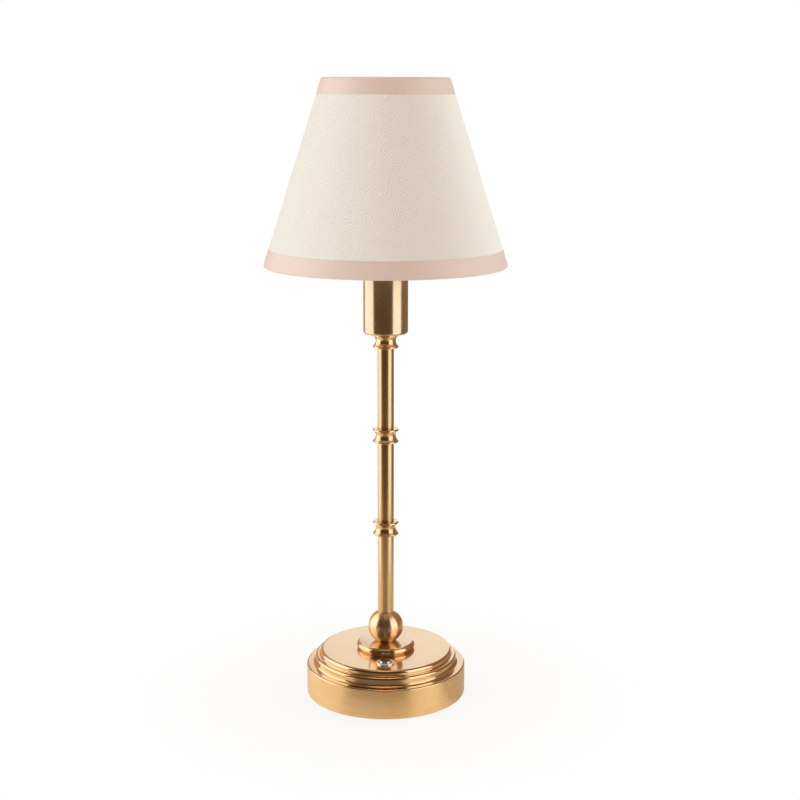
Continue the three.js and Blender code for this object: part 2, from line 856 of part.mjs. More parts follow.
function opalDome() {
  const skirt = holderBore - slip
  const hollow = domeRadius - domeWall
  const crown = neckTop + domeHeight - domeRadius
  const low = boardSeat + lightBoardThickness + slip
  const inner = arc(0, crown, hollow, 90, 0, 3)
  const outer = arc(0, crown, domeRadius, 0, 90, 5)
  inner[0][0] = 0
  outer.at(-1)[0] = 0
  const outline = [
    ...inner,
    [hollow, neckTop + domeWall],
    [skirt - domeWall, neckTop],
    [skirt - domeWall, low],
    [skirt, low],
    [skirt, neckTop],
    [domeRadius, neckTop],
    ...outer,
  ]
  return turned(outline, stemSides)
}

function cupWasher() {
  const low = nutSeat - washerThickness
  return ringBody(rodRadius + slip, washerRadius, low, nutSeat, hiddenSides)
}

function headParts() {
  const nut = hexNut(cupNutAcross, rodRadius + slip, cupNutHeight).translate(0, 0, nutSeat)
  return assembly(
    cupBottom,
    piece('socket_cup', socketCup(), 'brass'),
    piece('cup_washer', cupWasher(), 'steel'),
    piece('cup_nut', nut, 'steel'),
    piece('led_holder', holderTube(), 'white'),
    piece('led_heatsink', heatSink(), 'aluminium'),
    piece('led_board', lightBoard(), 'white'),
    piece('led_emitter', lightEmitter(), 'emitter'),
    piece('diffuser_dome', opalDome(), 'opal'),
  )
}

// Shade, heights from its lower rim

const shadeSlope = (shadeTopRadius - shadeBottomRadius) / shadeHeight
const slant = Math.hypot(1, shadeSlope) // length along the cone per unit of height
const fabricDepth = tapeThickness + slip
const linerDepth = fabricDepth + fabricThickness + slip
const wallDepth = linerDepth + linerThickness
const rimFold = tapeThickness + slip
const fitterHeight = shadeDrop

// Radius at a height, for a surface a given depth inside the outermost one.
function coneRadius(height, depth) {
  return shadeBottomRadius + shadeSlope * height - depth * slant
}

function coneShell(depth, thickness, bottom, top) {
  const inner = depth + thickness
  const outline = [
    [coneRadius(bottom, inner), bottom],
    [coneRadius(bottom, depth), bottom],
    [coneRadius(top, depth), top],
    [coneRadius(top, inner), top],
  ]
  return turned(outline, wideSides)
}

// Tape: a band on the fabric that turns over the rim as far as the liner's inner face.
function rimTape(rim, width) {
  const upward = rim === 0 ? 1 : -1
  const edge = rim + upward * tapeThickness
  const end = rim + (upward * width) / slant
  const outline = [
    [coneRadius(rim, wallDepth), rim],
    [coneRadius(rim, 0), rim],
    [coneRadius(end, 0), end],
    [coneRadius(end, tapeThickness), end],
    [coneRadius(edge, tapeThickness), edge],
    [coneRadius(edge, wallDepth), edge],
  ]
  return turned(outline, wideSides)
}

function rimRing(height) {
  const radius = coneRadius(height, wallDepth + slip + rimWire)
  const ring = new THREE.TorusGeometry(radius, rimWire, wireSides, wideSides)
  return ring.translate(0, 0, height)
}

// Fitter: a flat ring for the neck, three cranked arms and the wire ring of the lower rim.
function shadeFitter() {
  const rimHeight = rimFold + rimWire + wireRest
  const ringRadius = coneRadius(rimHeight, wallDepth + slip + rimWire)
  const hubTop = fitterHeight + fitterThickness
  const hub = ringBody(neckRadius + slip, fitterRingRadius, fitterHeight, hubTop, stemSides)
  const armHeight = (fitterHeight + hubTop) / 2
  const arms = Array.from({ length: armCount }, (unused, i) => {
    const points = [
      [fitterRingRadius - armWire, 0, armHeight],
      [fitterRingRadius + 8, 0, armHeight - 0.4],
      [ringRadius * 0.62, 0, (armHeight + rimHeight) / 2 + 1],
      [ringRadius - 9, 0, rimHeight + 0.7],
      [ringRadius, 0, rimHeight],
    ]
    return tubeAlong(points, armWire, 8, wireSides).rotateZ(Math.PI / 2 + (2 * Math.PI * i) / armCount)
  })
  return shaped([hub, rimRing(rimHeight), ...arms])
}

// Screw ring with a fluted grip.
function retainingRing() {
  const points = circlePoints(retainerRadius, retainerFlutes * 3)
  const share = 1 - fluteDepth / retainerRadius
  const outline = points.map(([x, y], i) => (i % 3 === 0 ? [x * share, y * share] : [x, y]))
  const bore = circlePoints(neckRadius + slip, stemSides)
  const low = fitterHeight + fitterThickness
  return raised(outline, low, low + retainerHeight, [bore])
}

function shadeParts() {
  const linerTop = shadeHeight - rimFold
  const topRingHeight = linerTop - rimWire - wireRest
  return assembly(
    cupRim - shadeDrop,
    piece('shade_fitter', shadeFitter(), 'steel'),
    piece('shade_liner', coneShell(linerDepth, linerThickness, rimFold, linerTop), 'liner'),
    piece('shade_fabric', coneShell(fabricDepth, fabricThickness, rimFold, linerTop), 'linen'),
    piece('shade_top_ring', rimRing(topRingHeight), 'steel'),
    piece('shade_top_trim', rimTape(shadeHeight, topTapeWidth), 'tape'),
    piece('shade_bottom_trim', rimTape(0, bottomTapeWidth), 'tape'),
    piece('retaining_ring', retainingRing(), 'white'),
  )
}

function baseParts() {
  const cellLow = batteryCell().translate(-cellOffset, 0, cellCentre)
  const cellHigh = batteryCell().translate(cellOffset, 0, cellCentre)
  const screws = [...screwPlaces, ...ballastPlaces].map((place, i) => {
    return piece(`plate_screw_${i + 1}`, plateScrew(place), 'steel')
  })
  return assembly(
    0,
    piece('base_shell', baseShell(), 'brass'),
    piece('base_plate', basePlate(), 'steel'),
    piece('base_pad', discBody(baseRadius - plateLedge - 2 * slip, 0, padThickness, wideSides), 'felt'),
    piece('rod_bush', rodBush(), 'steel'),
    piece('ballast_weight_right', ballastWeight(1), 'iron'),
    piece('ballast_weight_left', ballastWeight(-1), 'iron'),
    piece('battery_tray', batteryTray(), 'black'),
    piece('battery_cell_left', cellLow, 'cell'),
    piece('battery_cell_right', cellHigh, 'cell'),
    piece('battery_contact_rear', contactStrip(cellLength / 2 + contactThickness), 'steel'),
    piece('battery_contact_front', contactStrip(-cellLength / 2), 'steel'),
    piece('control_board', controlBoard(), 'board'),
    piece('usb_c_socket', chargeSocket(), 'steel'),
    piece('cell_lead', cellLead(), 'black'),
    piece('switch_lead', switchLead(), 'black'),
    piece('led_lead', lampLead(), 'black'),
    ...screws,
  )
}

function stemParts() {
  const spans = ['lower', 'middle', 'upper']
  const members = [piece('tie_rod', tieRod(), 'steel')]
  const flange = piece('stem_flange', stemFlange(), 'brass')
  flange.position.z = baseTop
  const ball = piece('stem_ball', stemBall(), 'brass')
  ball.position.z = ballCentre
  members.push(flange, ball)
  spans.forEach((span, i) => {
    const collarBottom = firstCollar + i * collarPitch
    const tubeBottom = i === 0 ? ballTop : collarBottom - collarPitch + collarHeight
    const tube = piece(`stem_tube_${span}`, stemTube(collarBottom - tubeBottom), 'brass')
    tube.position.z = tubeBottom
    const collar = piece(`stem_collar_${span}`, spoolCollar(), 'brass')
    collar.position.z = collarBottom + collarHeight / 2
    members.push(tube, collar)
  })
  return assembly(0, ...members)
}

const group = new THREE.Group()
group.add(baseParts(), pressSwitch(), stemParts(), headParts(), shadeParts())

export default group
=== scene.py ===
import math

import bmesh
import bpy
from mathutils import Matrix, Vector


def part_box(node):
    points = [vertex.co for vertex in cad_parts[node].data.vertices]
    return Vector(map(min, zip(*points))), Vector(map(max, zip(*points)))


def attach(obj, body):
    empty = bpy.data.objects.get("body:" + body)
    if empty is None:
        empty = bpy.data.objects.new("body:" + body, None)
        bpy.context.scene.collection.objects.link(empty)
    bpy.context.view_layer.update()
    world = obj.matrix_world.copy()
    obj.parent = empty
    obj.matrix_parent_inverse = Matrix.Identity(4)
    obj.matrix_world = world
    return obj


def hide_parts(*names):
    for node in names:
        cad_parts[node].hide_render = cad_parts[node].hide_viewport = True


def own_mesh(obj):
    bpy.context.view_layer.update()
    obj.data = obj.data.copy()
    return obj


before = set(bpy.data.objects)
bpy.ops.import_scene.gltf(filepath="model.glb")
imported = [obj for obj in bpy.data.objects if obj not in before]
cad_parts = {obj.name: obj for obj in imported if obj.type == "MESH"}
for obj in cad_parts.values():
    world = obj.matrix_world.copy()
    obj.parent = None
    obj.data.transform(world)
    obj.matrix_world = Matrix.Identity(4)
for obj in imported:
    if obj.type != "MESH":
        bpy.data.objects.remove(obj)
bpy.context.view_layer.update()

# Sizes are millimetres in the frame's axes, and every mesh is made in metres.
mm = 0.001


def boxOf(node):  # lowest and highest corner of a CAD node, in millimetres
    low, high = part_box(node)
    return low / mm, high / mm


# Colours and nodes

def linearColour(hexCode):
    channels = [int(hexCode[i:i + 2], 16) / 255 for i in (1, 3, 5)]
    return [c / 12.92 if c <= 0.04045 else ((c + 0.055) / 1.055) ** 2.4 for c in channels] + [1.0]


def setInputs(tree, node, inputs):  # a node or a socket is linked, anything else is set
    for name, value in inputs.items() if isinstance(inputs, dict) else enumerate(inputs):
        if isinstance(value, bpy.types.Node):
            value = next(socket for socket in value.outputs if socket.enabled)
        if isinstance(value, bpy.types.NodeSocket):
            tree.links.new(value, node.inputs[name])
        else:
            node.inputs[name].default_value = value


def addNode(tree, kind, inputs=(), **settings):  # a shader node's kind is written without its prefix
    node = tree.nodes.new(kind if kind.startswith("GeometryNode") else "ShaderNode" + kind)
    for name, value in settings.items():
        setattr(node, name, value)
    setInputs(tree, node, inputs)
    return node


def startMaterial(name, sockets):
    material = bpy.data.materials.new(name)
    material.use_nodes = True
    tree = material.node_tree
    shader = tree.nodes["Principled BSDF"]
    setInputs(tree, shader, sockets)
    return material, tree, shader


def finishSurface(tree, shader, colours, share, height, relief, depth, gloss=None):
    # Colour between two by a share, relief up to a depth from a height, and roughness that follows it.
    first, second = [linearColour(hexCode) for hexCode in colours]
    colour = addNode(tree, "Mix", {"Factor": share, "A": first, "B": second}, data_type="RGBA")
    bump = addNode(tree, "Bump", {"Height": height, "Strength": relief, "Distance": depth * mm})
    setInputs(tree, shader, {"Base Color": colour, "Normal": bump})
    if gloss:
        roughness = addNode(tree, "MapRange", [height, 0.3, 0.7, *gloss])
        setInputs(tree, shader, {"Roughness": roughness})
    return bump


# Turned metal: fine lathe lines run round the axis, so the shine spreads across them, up and down a
# tube and outwards on a disc, while left and right edges of a reflection stay sharp.
metalShare = {"tarnishScale": 45.0, "tarnishStart": -0.2, "glossShare": 0.06, "lineHeight": 0.02}


def turnedMetal(name, look, centre=(0, 0)):
    s = metalShare
    material, tree, shader = startMaterial(name, {
        "Metallic": look["metallic"], "Anisotropic": look["stretch"], "Anisotropic Rotation": 0.25,
        "Coat Weight": look["lacquer"], "Coat Roughness": look["lacquerRoughness"],
        "Coat IOR": look["lacquerIndex"]})
    lines = 1 / (look["linePitch"] * mm)
    spot = addNode(tree, "TexCoord").outputs["Object"]
    onAxis = addNode(tree, "Mapping", {"Vector": spot, "Location": (-centre[0] * mm, -centre[1] * mm, 0)})
    flat = addNode(tree, "VectorMath", [onAxis, (1, 1, 0)], operation="MULTIPLY")
    outward = addNode(tree, "VectorMath", [flat], operation="NORMALIZE")
    around = addNode(tree, "VectorMath", [(0, 0, 1), outward], operation="CROSS_PRODUCT")
    radius = addNode(tree, "VectorMath", [flat], operation="LENGTH")
    acrossDisc = addNode(tree, "Math", [radius, lines], operation="MULTIPLY")
    upward = addNode(tree, "SeparateXYZ", [onAxis]).outputs["Z"]
    alongAxis = addNode(tree, "Math", [upward, lines], operation="MULTIPLY")
    discLines = addNode(tree, "CombineXYZ", {"Z": acrossDisc})
    grainSpot = addNode(tree, "VectorMath", [outward, [look["lineBreaks"]] * 3, discLines],
                        operation="MULTIPLY_ADD")
    grain = addNode(tree, "TexNoise", {"Vector": grainSpot, "W": alongAxis, "Scale": 1.0, "Detail": 3.0,
                                       "Roughness": 0.65}, noise_dimensions="4D")
    tarnish = addNode(tree, "TexNoise", {"Vector": spot, "Scale": s["tarnishScale"], "Detail": 4.0,
                                         "Roughness": 0.6})
    lineShare = addNode(tree, "Math", [grain, look["lineTint"], s["tarnishStart"]], operation="MULTIPLY_ADD")
    tint = addNode(tree, "Math", [lineShare, tarnish], operation="ADD", use_clamp=True)
    gloss = [look["roughness"] * (1 + side * s["glossShare"]) for side in (-1, 1)]
    bump = finishSurface(tree, shader, (look["light"], look["deep"]), tint, grain, look["lineDepth"],
                         s["lineHeight"], gloss)
    setInputs(tree, shader, {"Coat Normal": bump, "Tangent": around})
    return material


# Lacquered brass, turned and polished with fine emery: warm yellow, deep brown where it mirrors dark.
brassLook = {
    "light": "#EEC78D", "deep": "#E2B677", "roughness": 0.26, "stretch": 0.85, "lacquer": 1.0,
    "lacquerRoughness": 0.2, "linePitch": 0.5, "lineBreaks": 2.5, "lineDepth": 0.01, "lineTint": 0.12,
    "lacquerIndex": 1.9, "metallic": 1.0,
}
# The socket cup is rubbed a little coarser, so fine lines show in its bands of shine.
brass = turnedMetal("lacqueredTurnedBrass", {
    **brassLook, "light": "#E2C498", "deep": "#CCA974", "linePitch": 0.9, "lineTint": 0.6, "lineDepth": 0.04})
# The stem's tubes are drawn and only rubbed down, so what they mirror is softer. The lowest tube gets a
# lighter,
# rougher and partly diffuse copy: painted light for the bright table it mirrors near the base.
tubeLook = {**brassLook, "light": "#DBB880", "deep": "#D1A86C", "roughness": 0.32, "stretch": 0.6,
            "lacquerIndex": 1.6}
tubeBrass = turnedMetal("satinDrawnBrass", tubeLook)
lowTubeLitBrass = turnedMetal("softDrawnBrass", {
    **tubeLook, "light": "#E4BC84", "deep": "#DAAC70", "roughness": 0.36, "stretch": 0.5, "metallic": 0.78})
# The same brass on the base's side, brushed with a coarse belt: satin. Its lighter colour and diffuse share
# are painted light, so it stays bright where it mirrors nothing. Its lines are drawn 1.1 mm apart, far wider
# than real ones, so that they show.
wallLitBrass = turnedMetal("beltBrushedBrass", {
    **brassLook, "light": "#FDDCA3", "deep": "#E6B66E", "metallic": 0.7, "roughness": 0.42, "stretch": 0.95,
    "lineDepth": 0.2, "linePitch": 1.1, "lineTint": 0.8})
# On the flange and the collars it is polished, and on the steps of the base polished further.
brightBrass = turnedMetal("polishedTurnedBrass", {**brassLook, "roughness": 0.24})
stepBrass = turnedMetal("mirrorTurnedBrass", {
    **brassLook, "roughness": 0.16, "stretch": 0.7, "lacquerRoughness": 0.12})
# The ball was polished on the lathe, so what it mirrors runs far up and down it. Its paler, lighter colour is
# painted light that brightens its highlights.
ballLitBrass = turnedMetal("latheRubbedBrass", {
    **brassLook, "light": "#F7D6A2", "deep": "#EEC689", "roughness": 0.28, "stretch": 0.93,
    "lacquerRoughness": 0.3, "lacquerIndex": 1.5, "lineDepth": 0.003})
# Bright chromium plate on the switch: a neutral mirror with faint turning lines. The bezel gets a paler,
# rougher
# and partly diffuse copy: painted light that makes its ring show bright.
chromeLook = {
    "light": "#E2DED8", "deep": "#DAD6D0", "roughness": 0.08, "stretch": 0.3, "lacquer": 0.0,
    "lacquerRoughness": 0.1, "linePitch": 0.2, "lineBreaks": 3.0, "lineDepth": 0.02, "lineTint": 0.3,
    "lacquerIndex": 1.5, "metallic": 1.0,
}
switchLow, switchHigh = boxOf("switch_bezel")
switchCentre = ((switchLow.x + switchHigh.x) / 2, (switchLow.y + switchHigh.y) / 2)
chrome = turnedMetal("brightChromePlate", chromeLook, switchCentre)
bezelLitChrome = turnedMetal("softChromePlate", {
    **chromeLook, "light": "#F4F2EE", "deep": "#EBE8E3", "roughness": 0.2, "metallic": 0.75}, switchCentre)


# Woven cloth, on the piece's own flat cut: warp and weft pass over and under each other. The darker gap
# colour is painted shade in the gaps, in the hollows beside each thread's crown and on the lower thread at
# each crossing.
def wovenCloth(name, look):
    material, tree, shader = startMaterial(name, {
        "Roughness": look["roughness"], "Sheen Weight": look["sheen"], "Sheen Roughness": 0.5,
        "Specular IOR Level": look["shine"]})
    pitch = look["threadPitch"] * mm
    straight = addNode(tree, "UVMap", uv_map="flatCut")
    drift = addNode(tree, "TexNoise", {"Vector": straight, "Scale": 1 / (7 * pitch), "Detail": 1.0})
    pull = addNode(tree, "VectorMath", [drift.outputs["Color"], (0.5, 0.5, 0.5)], operation="SUBTRACT")
    cut = addNode(tree, "VectorMath", [pull, [look["wander"] * pitch] * 3, straight],
                  operation="MULTIPLY_ADD")
    threads = []
    for direction in ("X", "Y"):  # one band in each thread
        bands = addNode(tree, "TexWave", {"Vector": cut, "Scale": 0.1 * math.pi / pitch},
                        wave_type="BANDS", bands_direction=direction, wave_profile="SIN")
        threads.append(bands.outputs["Fac"])
    crossing = addNode(tree, "TexChecker", {"Vector": cut, "Scale": 1 / pitch, "Color1": (1, 1, 1, 1),
                                            "Color2": (0, 0, 0, 1)}).outputs["Fac"]
    height = addNode(tree, "Mix", {"Factor": crossing, "A": threads[0], "B": threads[1]}, data_type="FLOAT")
    thick, long = 1 / (1.5 * pitch), 1 / (9 * pitch)
    slubs = []
    for stretch in ((thick, long, 1), (long, thick, 1)):
        along = addNode(tree, "Mapping", {"Vector": cut, "Scale": stretch})
        slubs.append(addNode(tree, "TexNoise", {"Vector": along, "Scale": 1.0, "Detail": 2.0}))
    slub = addNode(tree, "Mix", {"Factor": 0.5, "A": slubs[0], "B": slubs[1]}, data_type="FLOAT")
    slubShare = addNode(tree, "MapRange", [slub, 0.35, 0.65])
    # painted shade: the lower thread at each crossing and the hollows beside each crown take more of the gap
    # colour
    crossingShade = addNode(tree, "Math", [crossing, look["layer"]], operation="MULTIPLY")
    threadShare = addNode(tree, "Math", [height, look["hollow"], crossingShade], operation="MULTIPLY_ADD")
    shade = addNode(tree, "Math", [slubShare, look["slub"], threadShare], operation="MULTIPLY_ADD",
                    use_clamp=True)
    uneven = addNode(tree, "Math", [slub, look["slub"], height], operation="MULTIPLY_ADD")
    finishSurface(tree, shader, (look["gap"], look["thread"]), shade, uneven, look["relief"], 0.15)
    return material


# Plain woven linen, undyed: cream threads, with painted shade as the darker colour of the gaps. Its threads
# are drawn 0.85 mm apart, where the real ones are about 0.5 mm, so that they show.
linen = wovenCloth("plainWovenLinen", {
    "thread": "#FAECD9", "gap": "#D6C7B5", "threadPitch": 0.85, "wander": 0.8, "layer": 0.7, "hollow": 0.2,
    "slub": 0.1, "relief": 0.1, "roughness": 0.9, "sheen": 0.1, "shine": 0.2,
})
# Cotton bias tape in a dusty pink: closer threads and a soft, even shine; its darker gap colour is painted
# shade.
tapeCloth = wovenCloth("cottonBiasTape", {
    "thread": "#EBCAB5", "gap": "#DFBCA6", "threadPitch": 0.45, "wander": 1.0, "layer": 0.2, "hollow": 0.3,
    "slub": 0.3, "relief": 0.06, "roughness": 0.45, "sheen": 0.1, "shine": 0.8,
})


# Smooth or cast stuff whose colour and surface vary a little: films, mouldings, castings, felt.
def plainStuff(name, light, deep, roughness, grain, relief, detail=3.0, sockets=None):
    material, tree, shader = startMaterial(name, {"Subsurface Scale": 2 * mm, **(sockets or {})})
    spot = addNode(tree, "TexCoord").outputs["Object"]
    fine = addNode(tree, "TexNoise", {"Vector": spot, "Scale": 1 / (grain * mm), "Detail": detail})
    broad = addNode(tree, "TexNoise", {"Vector": spot, "Scale": 60.0, "Detail": 2.0})
    both = addNode(tree, "Math", [fine, broad], operation="ADD")
    share = addNode(tree, "MapRange", [both, 0.7, 1.3])
    finishSurface(tree, shader, (light, deep), share, fine, relief, grain * 0.3,
                  (roughness - 0.06, roughness + 0.06))
    return material


# Light and deep colour, roughness, grain in mm, relief, then the grain's detail and other sockets
stuffs = {
    # PVC shade film: smooth white with a low gloss
    "whiteShadeFilm": ("#F7F4EE", "#EFEBE3", 0.42, 1.2, 0.05),
    # nickel-plated steel wire: grey white, drawn smooth
    "nickelWire": ("#C9C8C4", "#B4B3AF", 0.26, 0.4, 0.08, 3.0, {"Metallic": 1.0}),
    # zinc-plated steel: blue grey and slightly cloudy
    "zincPlatedSteel": ("#B4B8BE", "#999DA3", 0.36, 0.6, 0.1, 3.0, {"Metallic": 1.0}),
    # grey cast iron: dull and grainy
    "castIron": ("#54565A", "#3E4043", 0.7, 0.5, 0.5, 3.0, {"Metallic": 0.6}),
    # pressed wool felt: matt, with a short nap
    "pressedFelt": ("#463F3B", "#332E2B", 0.94, 0.25, 0.8, 6.0, {"Sheen Weight": 0.4}),
    # moulded black ABS with a spark-eroded texture
    "blackABS": ("#2C2E31", "#212326", 0.5, 0.2, 0.25),
    # moulded white polycarbonate: clean, with a low gloss
    "whitePolycarbonate": ("#F1EFE9", "#E7E4DD", 0.38, 0.5, 0.06),
    # opal acrylic: milky, light goes a little way in
    "opalAcrylic": ("#FAF6EC", "#F3EEE2", 0.3, 1.0, 0.03, 3.0,
                    {"Subsurface Weight": 0.5, "Coat Weight": 0.3}),
    # glass fibre board under green resist
    "greenBoard": ("#2F7049", "#235A39", 0.42, 0.8, 0.1),
    # shrink sleeve of the cells: glossy blue film
    "blueShrinkSleeve": ("#5B9CC2", "#4888AD", 0.3, 0.9, 0.06),
    # extruded aluminium, as drawn
    "extrudedAluminium": ("#CDD0D3", "#B9BCC0", 0.42, 0.4, 0.12, 3.0, {"Metallic": 1.0}),
    # phosphor of the light emitter: matt yellow
    "yellowPhosphor": ("#F3D873", "#E8C653", 0.6, 0.1, 0.2),
    # PVC wire insulation
    "blackWireSleeve": ("#2A2B2E", "#1E1F21", 0.46, 0.3, 0.1),
}
stuff = {name: plainStuff(name, *look) for name, look in stuffs.items()}
print("materials made")


# Mesh helpers

def arcPoints(centreR, centreZ, radius, fromAngle, toAngle, steps):
    angles = [math.radians(fromAngle + (toAngle - fromAngle) * i / steps) for i in range(steps + 1)]
    return [(centreR + radius * math.cos(a), centreZ + radius * math.sin(a)) for a in angles]


def corner(r, z, radius, fromAngle, steps):
    # A quarter round for a sharp corner of an outline: -90 is the lower outer one, then 0, 90 and 180.
    middle = math.radians(fromAngle + 45)
    inR, inZ = math.copysign(radius, math.cos(middle)), math.copysign(radius, math.sin(middle))
    return arcPoints(r - inR, z - inZ, radius, fromAngle, fromAngle + 90, steps)


def smoothen(mesh, sharpAngle=32):
    mesh.shade_smooth()
    mesh.set_sharp_from_angle(angle=math.radians(sharpAngle))


def closeUp(mesh):  # merges doubles, turns faces outwards, rounds the shading
    work = bmesh.new()
    work.from_mesh(mesh)
    bmesh.ops.remove_doubles(work, verts=work.verts, dist=1e-6)
    bmesh.ops.recalc_face_normals(work, faces=work.faces)
    work.to_mesh(mesh)
    work.free()
    smoothen(mesh)


def addObject(name, data):
    made = bpy.data.objects.new(name, data)
    bpy.context.scene.collection.objects.link(made)
    return made


def makeMesh(name, vertices, faces, material):
    mesh = bpy.data.meshes.new(name)
    mesh.from_pydata([[c * mm for c in v] for v in vertices], [], faces)
    mesh.materials.append(material)
    return mesh


def makeObject(name, vertices, faces, material):
    mesh = makeMesh(name, vertices, faces, material)
    closeUp(mesh)
    return addObject(name, mesh)


def turnedPiece(name, outline, material, turns=160, centre=(0, 0)):
    # A closed outline of radius and height, turned about Z; both its ends may lie on the axis.
    vertices = []
    rings = []
    for radius, height in outline:
        count = turns if radius > 1e-6 else 1
        rings.append(range(len(vertices), len(vertices) + count))
        for i in range(count):
            angle = 2 * math.pi * i / turns
            across, forward = radius * math.cos(angle), radius * math.sin(angle)
            vertices.append((centre[0] + across, centre[1] + forward, height))
    faces = []
    for a, b in zip(rings, rings[1:] + rings[:1]):
        for i in range(turns):
            j = (i + 1) % turns
            corners = [a[i % len(a)], a[j % len(a)], b[j % len(b)], b[i % len(b)]]
            corners = list(dict.fromkeys(corners))
            if len(corners) > 2:
                faces.append(corners)
    return makeObject(name, vertices, faces, material)


def toMesh(source, name, material=None):  # the evaluated object as a plain mesh of its own
    bpy.context.view_layer.update()
    graph = bpy.context.evaluated_depsgraph_get()
    mesh = bpy.data.meshes.new_from_object(source.evaluated_get(graph), preserve_all_data_layers=True,
                                           depsgraph=graph)
    mesh.name = name
    bpy.data.objects.remove(source)
    if material:
        mesh.materials.clear()
        mesh.materials.append(material)
        closeUp(mesh)
    return addObject(name, mesh)


def sweptPiece(name, points, radius, material):
    # A round wire along a smooth line through the points.
    curve = bpy.data.curves.new(name, "CURVE")
    curve.dimensions = "3D"
    curve.bevel_depth = radius * mm
    curve.bevel_resolution = 4
    curve.use_fill_caps = True
    spline = curve.splines.new("NURBS")
    spline.points.add(len(points) - 1)
    for point, target in zip(spline.points, points):
        point.co = [c * mm for c in target] + [1.0]
    spline.order_u = 4
    spline.use_endpoint_u = True
    spline.resolution_u = 12
    return toMesh(addObject(name, curve), name, material)


def joined(name, pieces):  # several closed bodies as one object
    work = bmesh.new()
    for piece in pieces:
        work.from_mesh(piece.data)
    mesh = bpy.data.meshes.new(name)
    work.to_mesh(mesh)
    work.free()
    mesh.materials.append(pieces[0].data.materials[0])
    smoothen(mesh)
    for piece in pieces:
        bpy.data.objects.remove(piece)
    return addObject(name, mesh)


def cutAway(piece, tools):
    for tool in tools:
        modifier = piece.modifiers.new("cut", "BOOLEAN")
        modifier.operation = "DIFFERENCE"
        modifier.object = tool
        modifier.solver = "EXACT"
    cut = toMesh(piece, piece.name, piece.data.materials[0])
    for tool in tools:
        bpy.data.objects.remove(tool)
    return cut


def solidified(sheet, thickness, inwards=False):  # a sheet with a wall, to both its sides or inwards only
    wall = sheet.modifiers.new("wall", "SOLIDIFY")
    wall.thickness = thickness * mm
    wall.offset = -1 if inwards else 0
    wall.use_even_offset = inwards
    solid = toMesh(sheet, sheet.name)
    smoothen(solid.data, 50)
    return solid


def place(piece, body, slot, *nodes):
    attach(piece, body)
    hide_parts(*nodes)


# Geometry Nodes trees

def startTree(name, inputs):
    tree = bpy.data.node_groups.new(name, "GeometryNodeTree")
    tree.interface.new_socket("Geometry", in_out="OUTPUT", socket_type="NodeSocketGeometry")
    for label, kind in {**inputs, "Material": "Material"}.items():
        tree.interface.new_socket(label, in_out="INPUT", socket_type="NodeSocket" + kind)
    return tree, tree.nodes.new("NodeGroupInput").outputs


def endTree(tree, given, shape):  # real faces, in the piece's own material
    real = addNode(tree, "GeometryNodeRealizeInstances", [shape])
    finished = addNode(tree, "GeometryNodeSetMaterial", {"Geometry": real, "Material": given["Material"]})
    setInputs(tree, tree.nodes.new("NodeGroupOutput"), [finished])
    return tree


def runTree(name, tree, material, values):
    holder = addObject(name, bpy.data.meshes.new(name))
    modifier = holder.modifiers.new("shape", "NODES")
    modifier.node_group = tree
    values = {**values, "Material": material}
    for item in tree.interface.items_tree:
        if item.in_out == "INPUT":
            modifier[item.identifier] = values[item.name]
    piece = toMesh(holder, name)
    closeUp(piece.data)
    return piece


def repeatTree():  # one part, repeated by a step or round the Z axis
    tree, given = startTree("repeatedPart", {
        "Part": "Object", "Count": "Int", "Step": "Vector", "Turn": "Float", "Start Angle": "Float"})
    points = addNode(tree, "GeometryNodeMeshLine", {"Count": given["Count"], "Offset": given["Step"]})
    part = addNode(tree, "GeometryNodeObjectInfo", {"Object": given["Part"]}).outputs["Geometry"]
    number = addNode(tree, "GeometryNodeInputIndex")
    share = addNode(tree, "Math", [number, given["Count"]], operation="DIVIDE")
    angle = addNode(tree, "Math", [share, given["Turn"], given["Start Angle"]], operation="MULTIPLY_ADD")
    turn = addNode(tree, "CombineXYZ", {"Z": angle})
    copies = addNode(tree, "GeometryNodeInstanceOnPoints", {"Points": points, "Instance": part,
                                                            "Rotation": turn})
    return endTree(tree, given, copies)


def threadTree():  # a round ridge that climbs round the Z axis: a screw thread or a coil spring
    tree, given = startTree("screwThread", {
        "Radius": "Float", "Pitch": "Float", "Turns": "Float", "Bottom": "Float", "Ridge": "Float"})
    rise = addNode(tree, "Math", [given["Pitch"], given["Turns"]], operation="MULTIPLY")
    helix = addNode(tree, "GeometryNodeCurveSpiral", {
        "Resolution": 64, "Rotations": given["Turns"], "Start Radius": given["Radius"],
        "End Radius": given["Radius"], "Height": rise})
    lift = addNode(tree, "CombineXYZ", {"Z": given["Bottom"]})
    raised = addNode(tree, "GeometryNodeSetPosition", {"Geometry": helix, "Offset": lift})
    section = addNode(tree, "GeometryNodeCurvePrimitiveCircle", {"Resolution": 10, "Radius": given["Ridge"]})
    ridge = addNode(tree, "GeometryNodeCurveToMesh", {"Curve": raised, "Profile Curve": section,
                                                      "Fill Caps": True})
    return endTree(tree, given, ridge)


def polar(tree, angle, radius):  # the two parts of a point, along and across the zero line
    parts = [addNode(tree, "Math", [angle], operation=part) for part in ("COSINE", "SINE")]
    return [addNode(tree, "Math", [part, radius], operation="MULTIPLY") for part in parts]


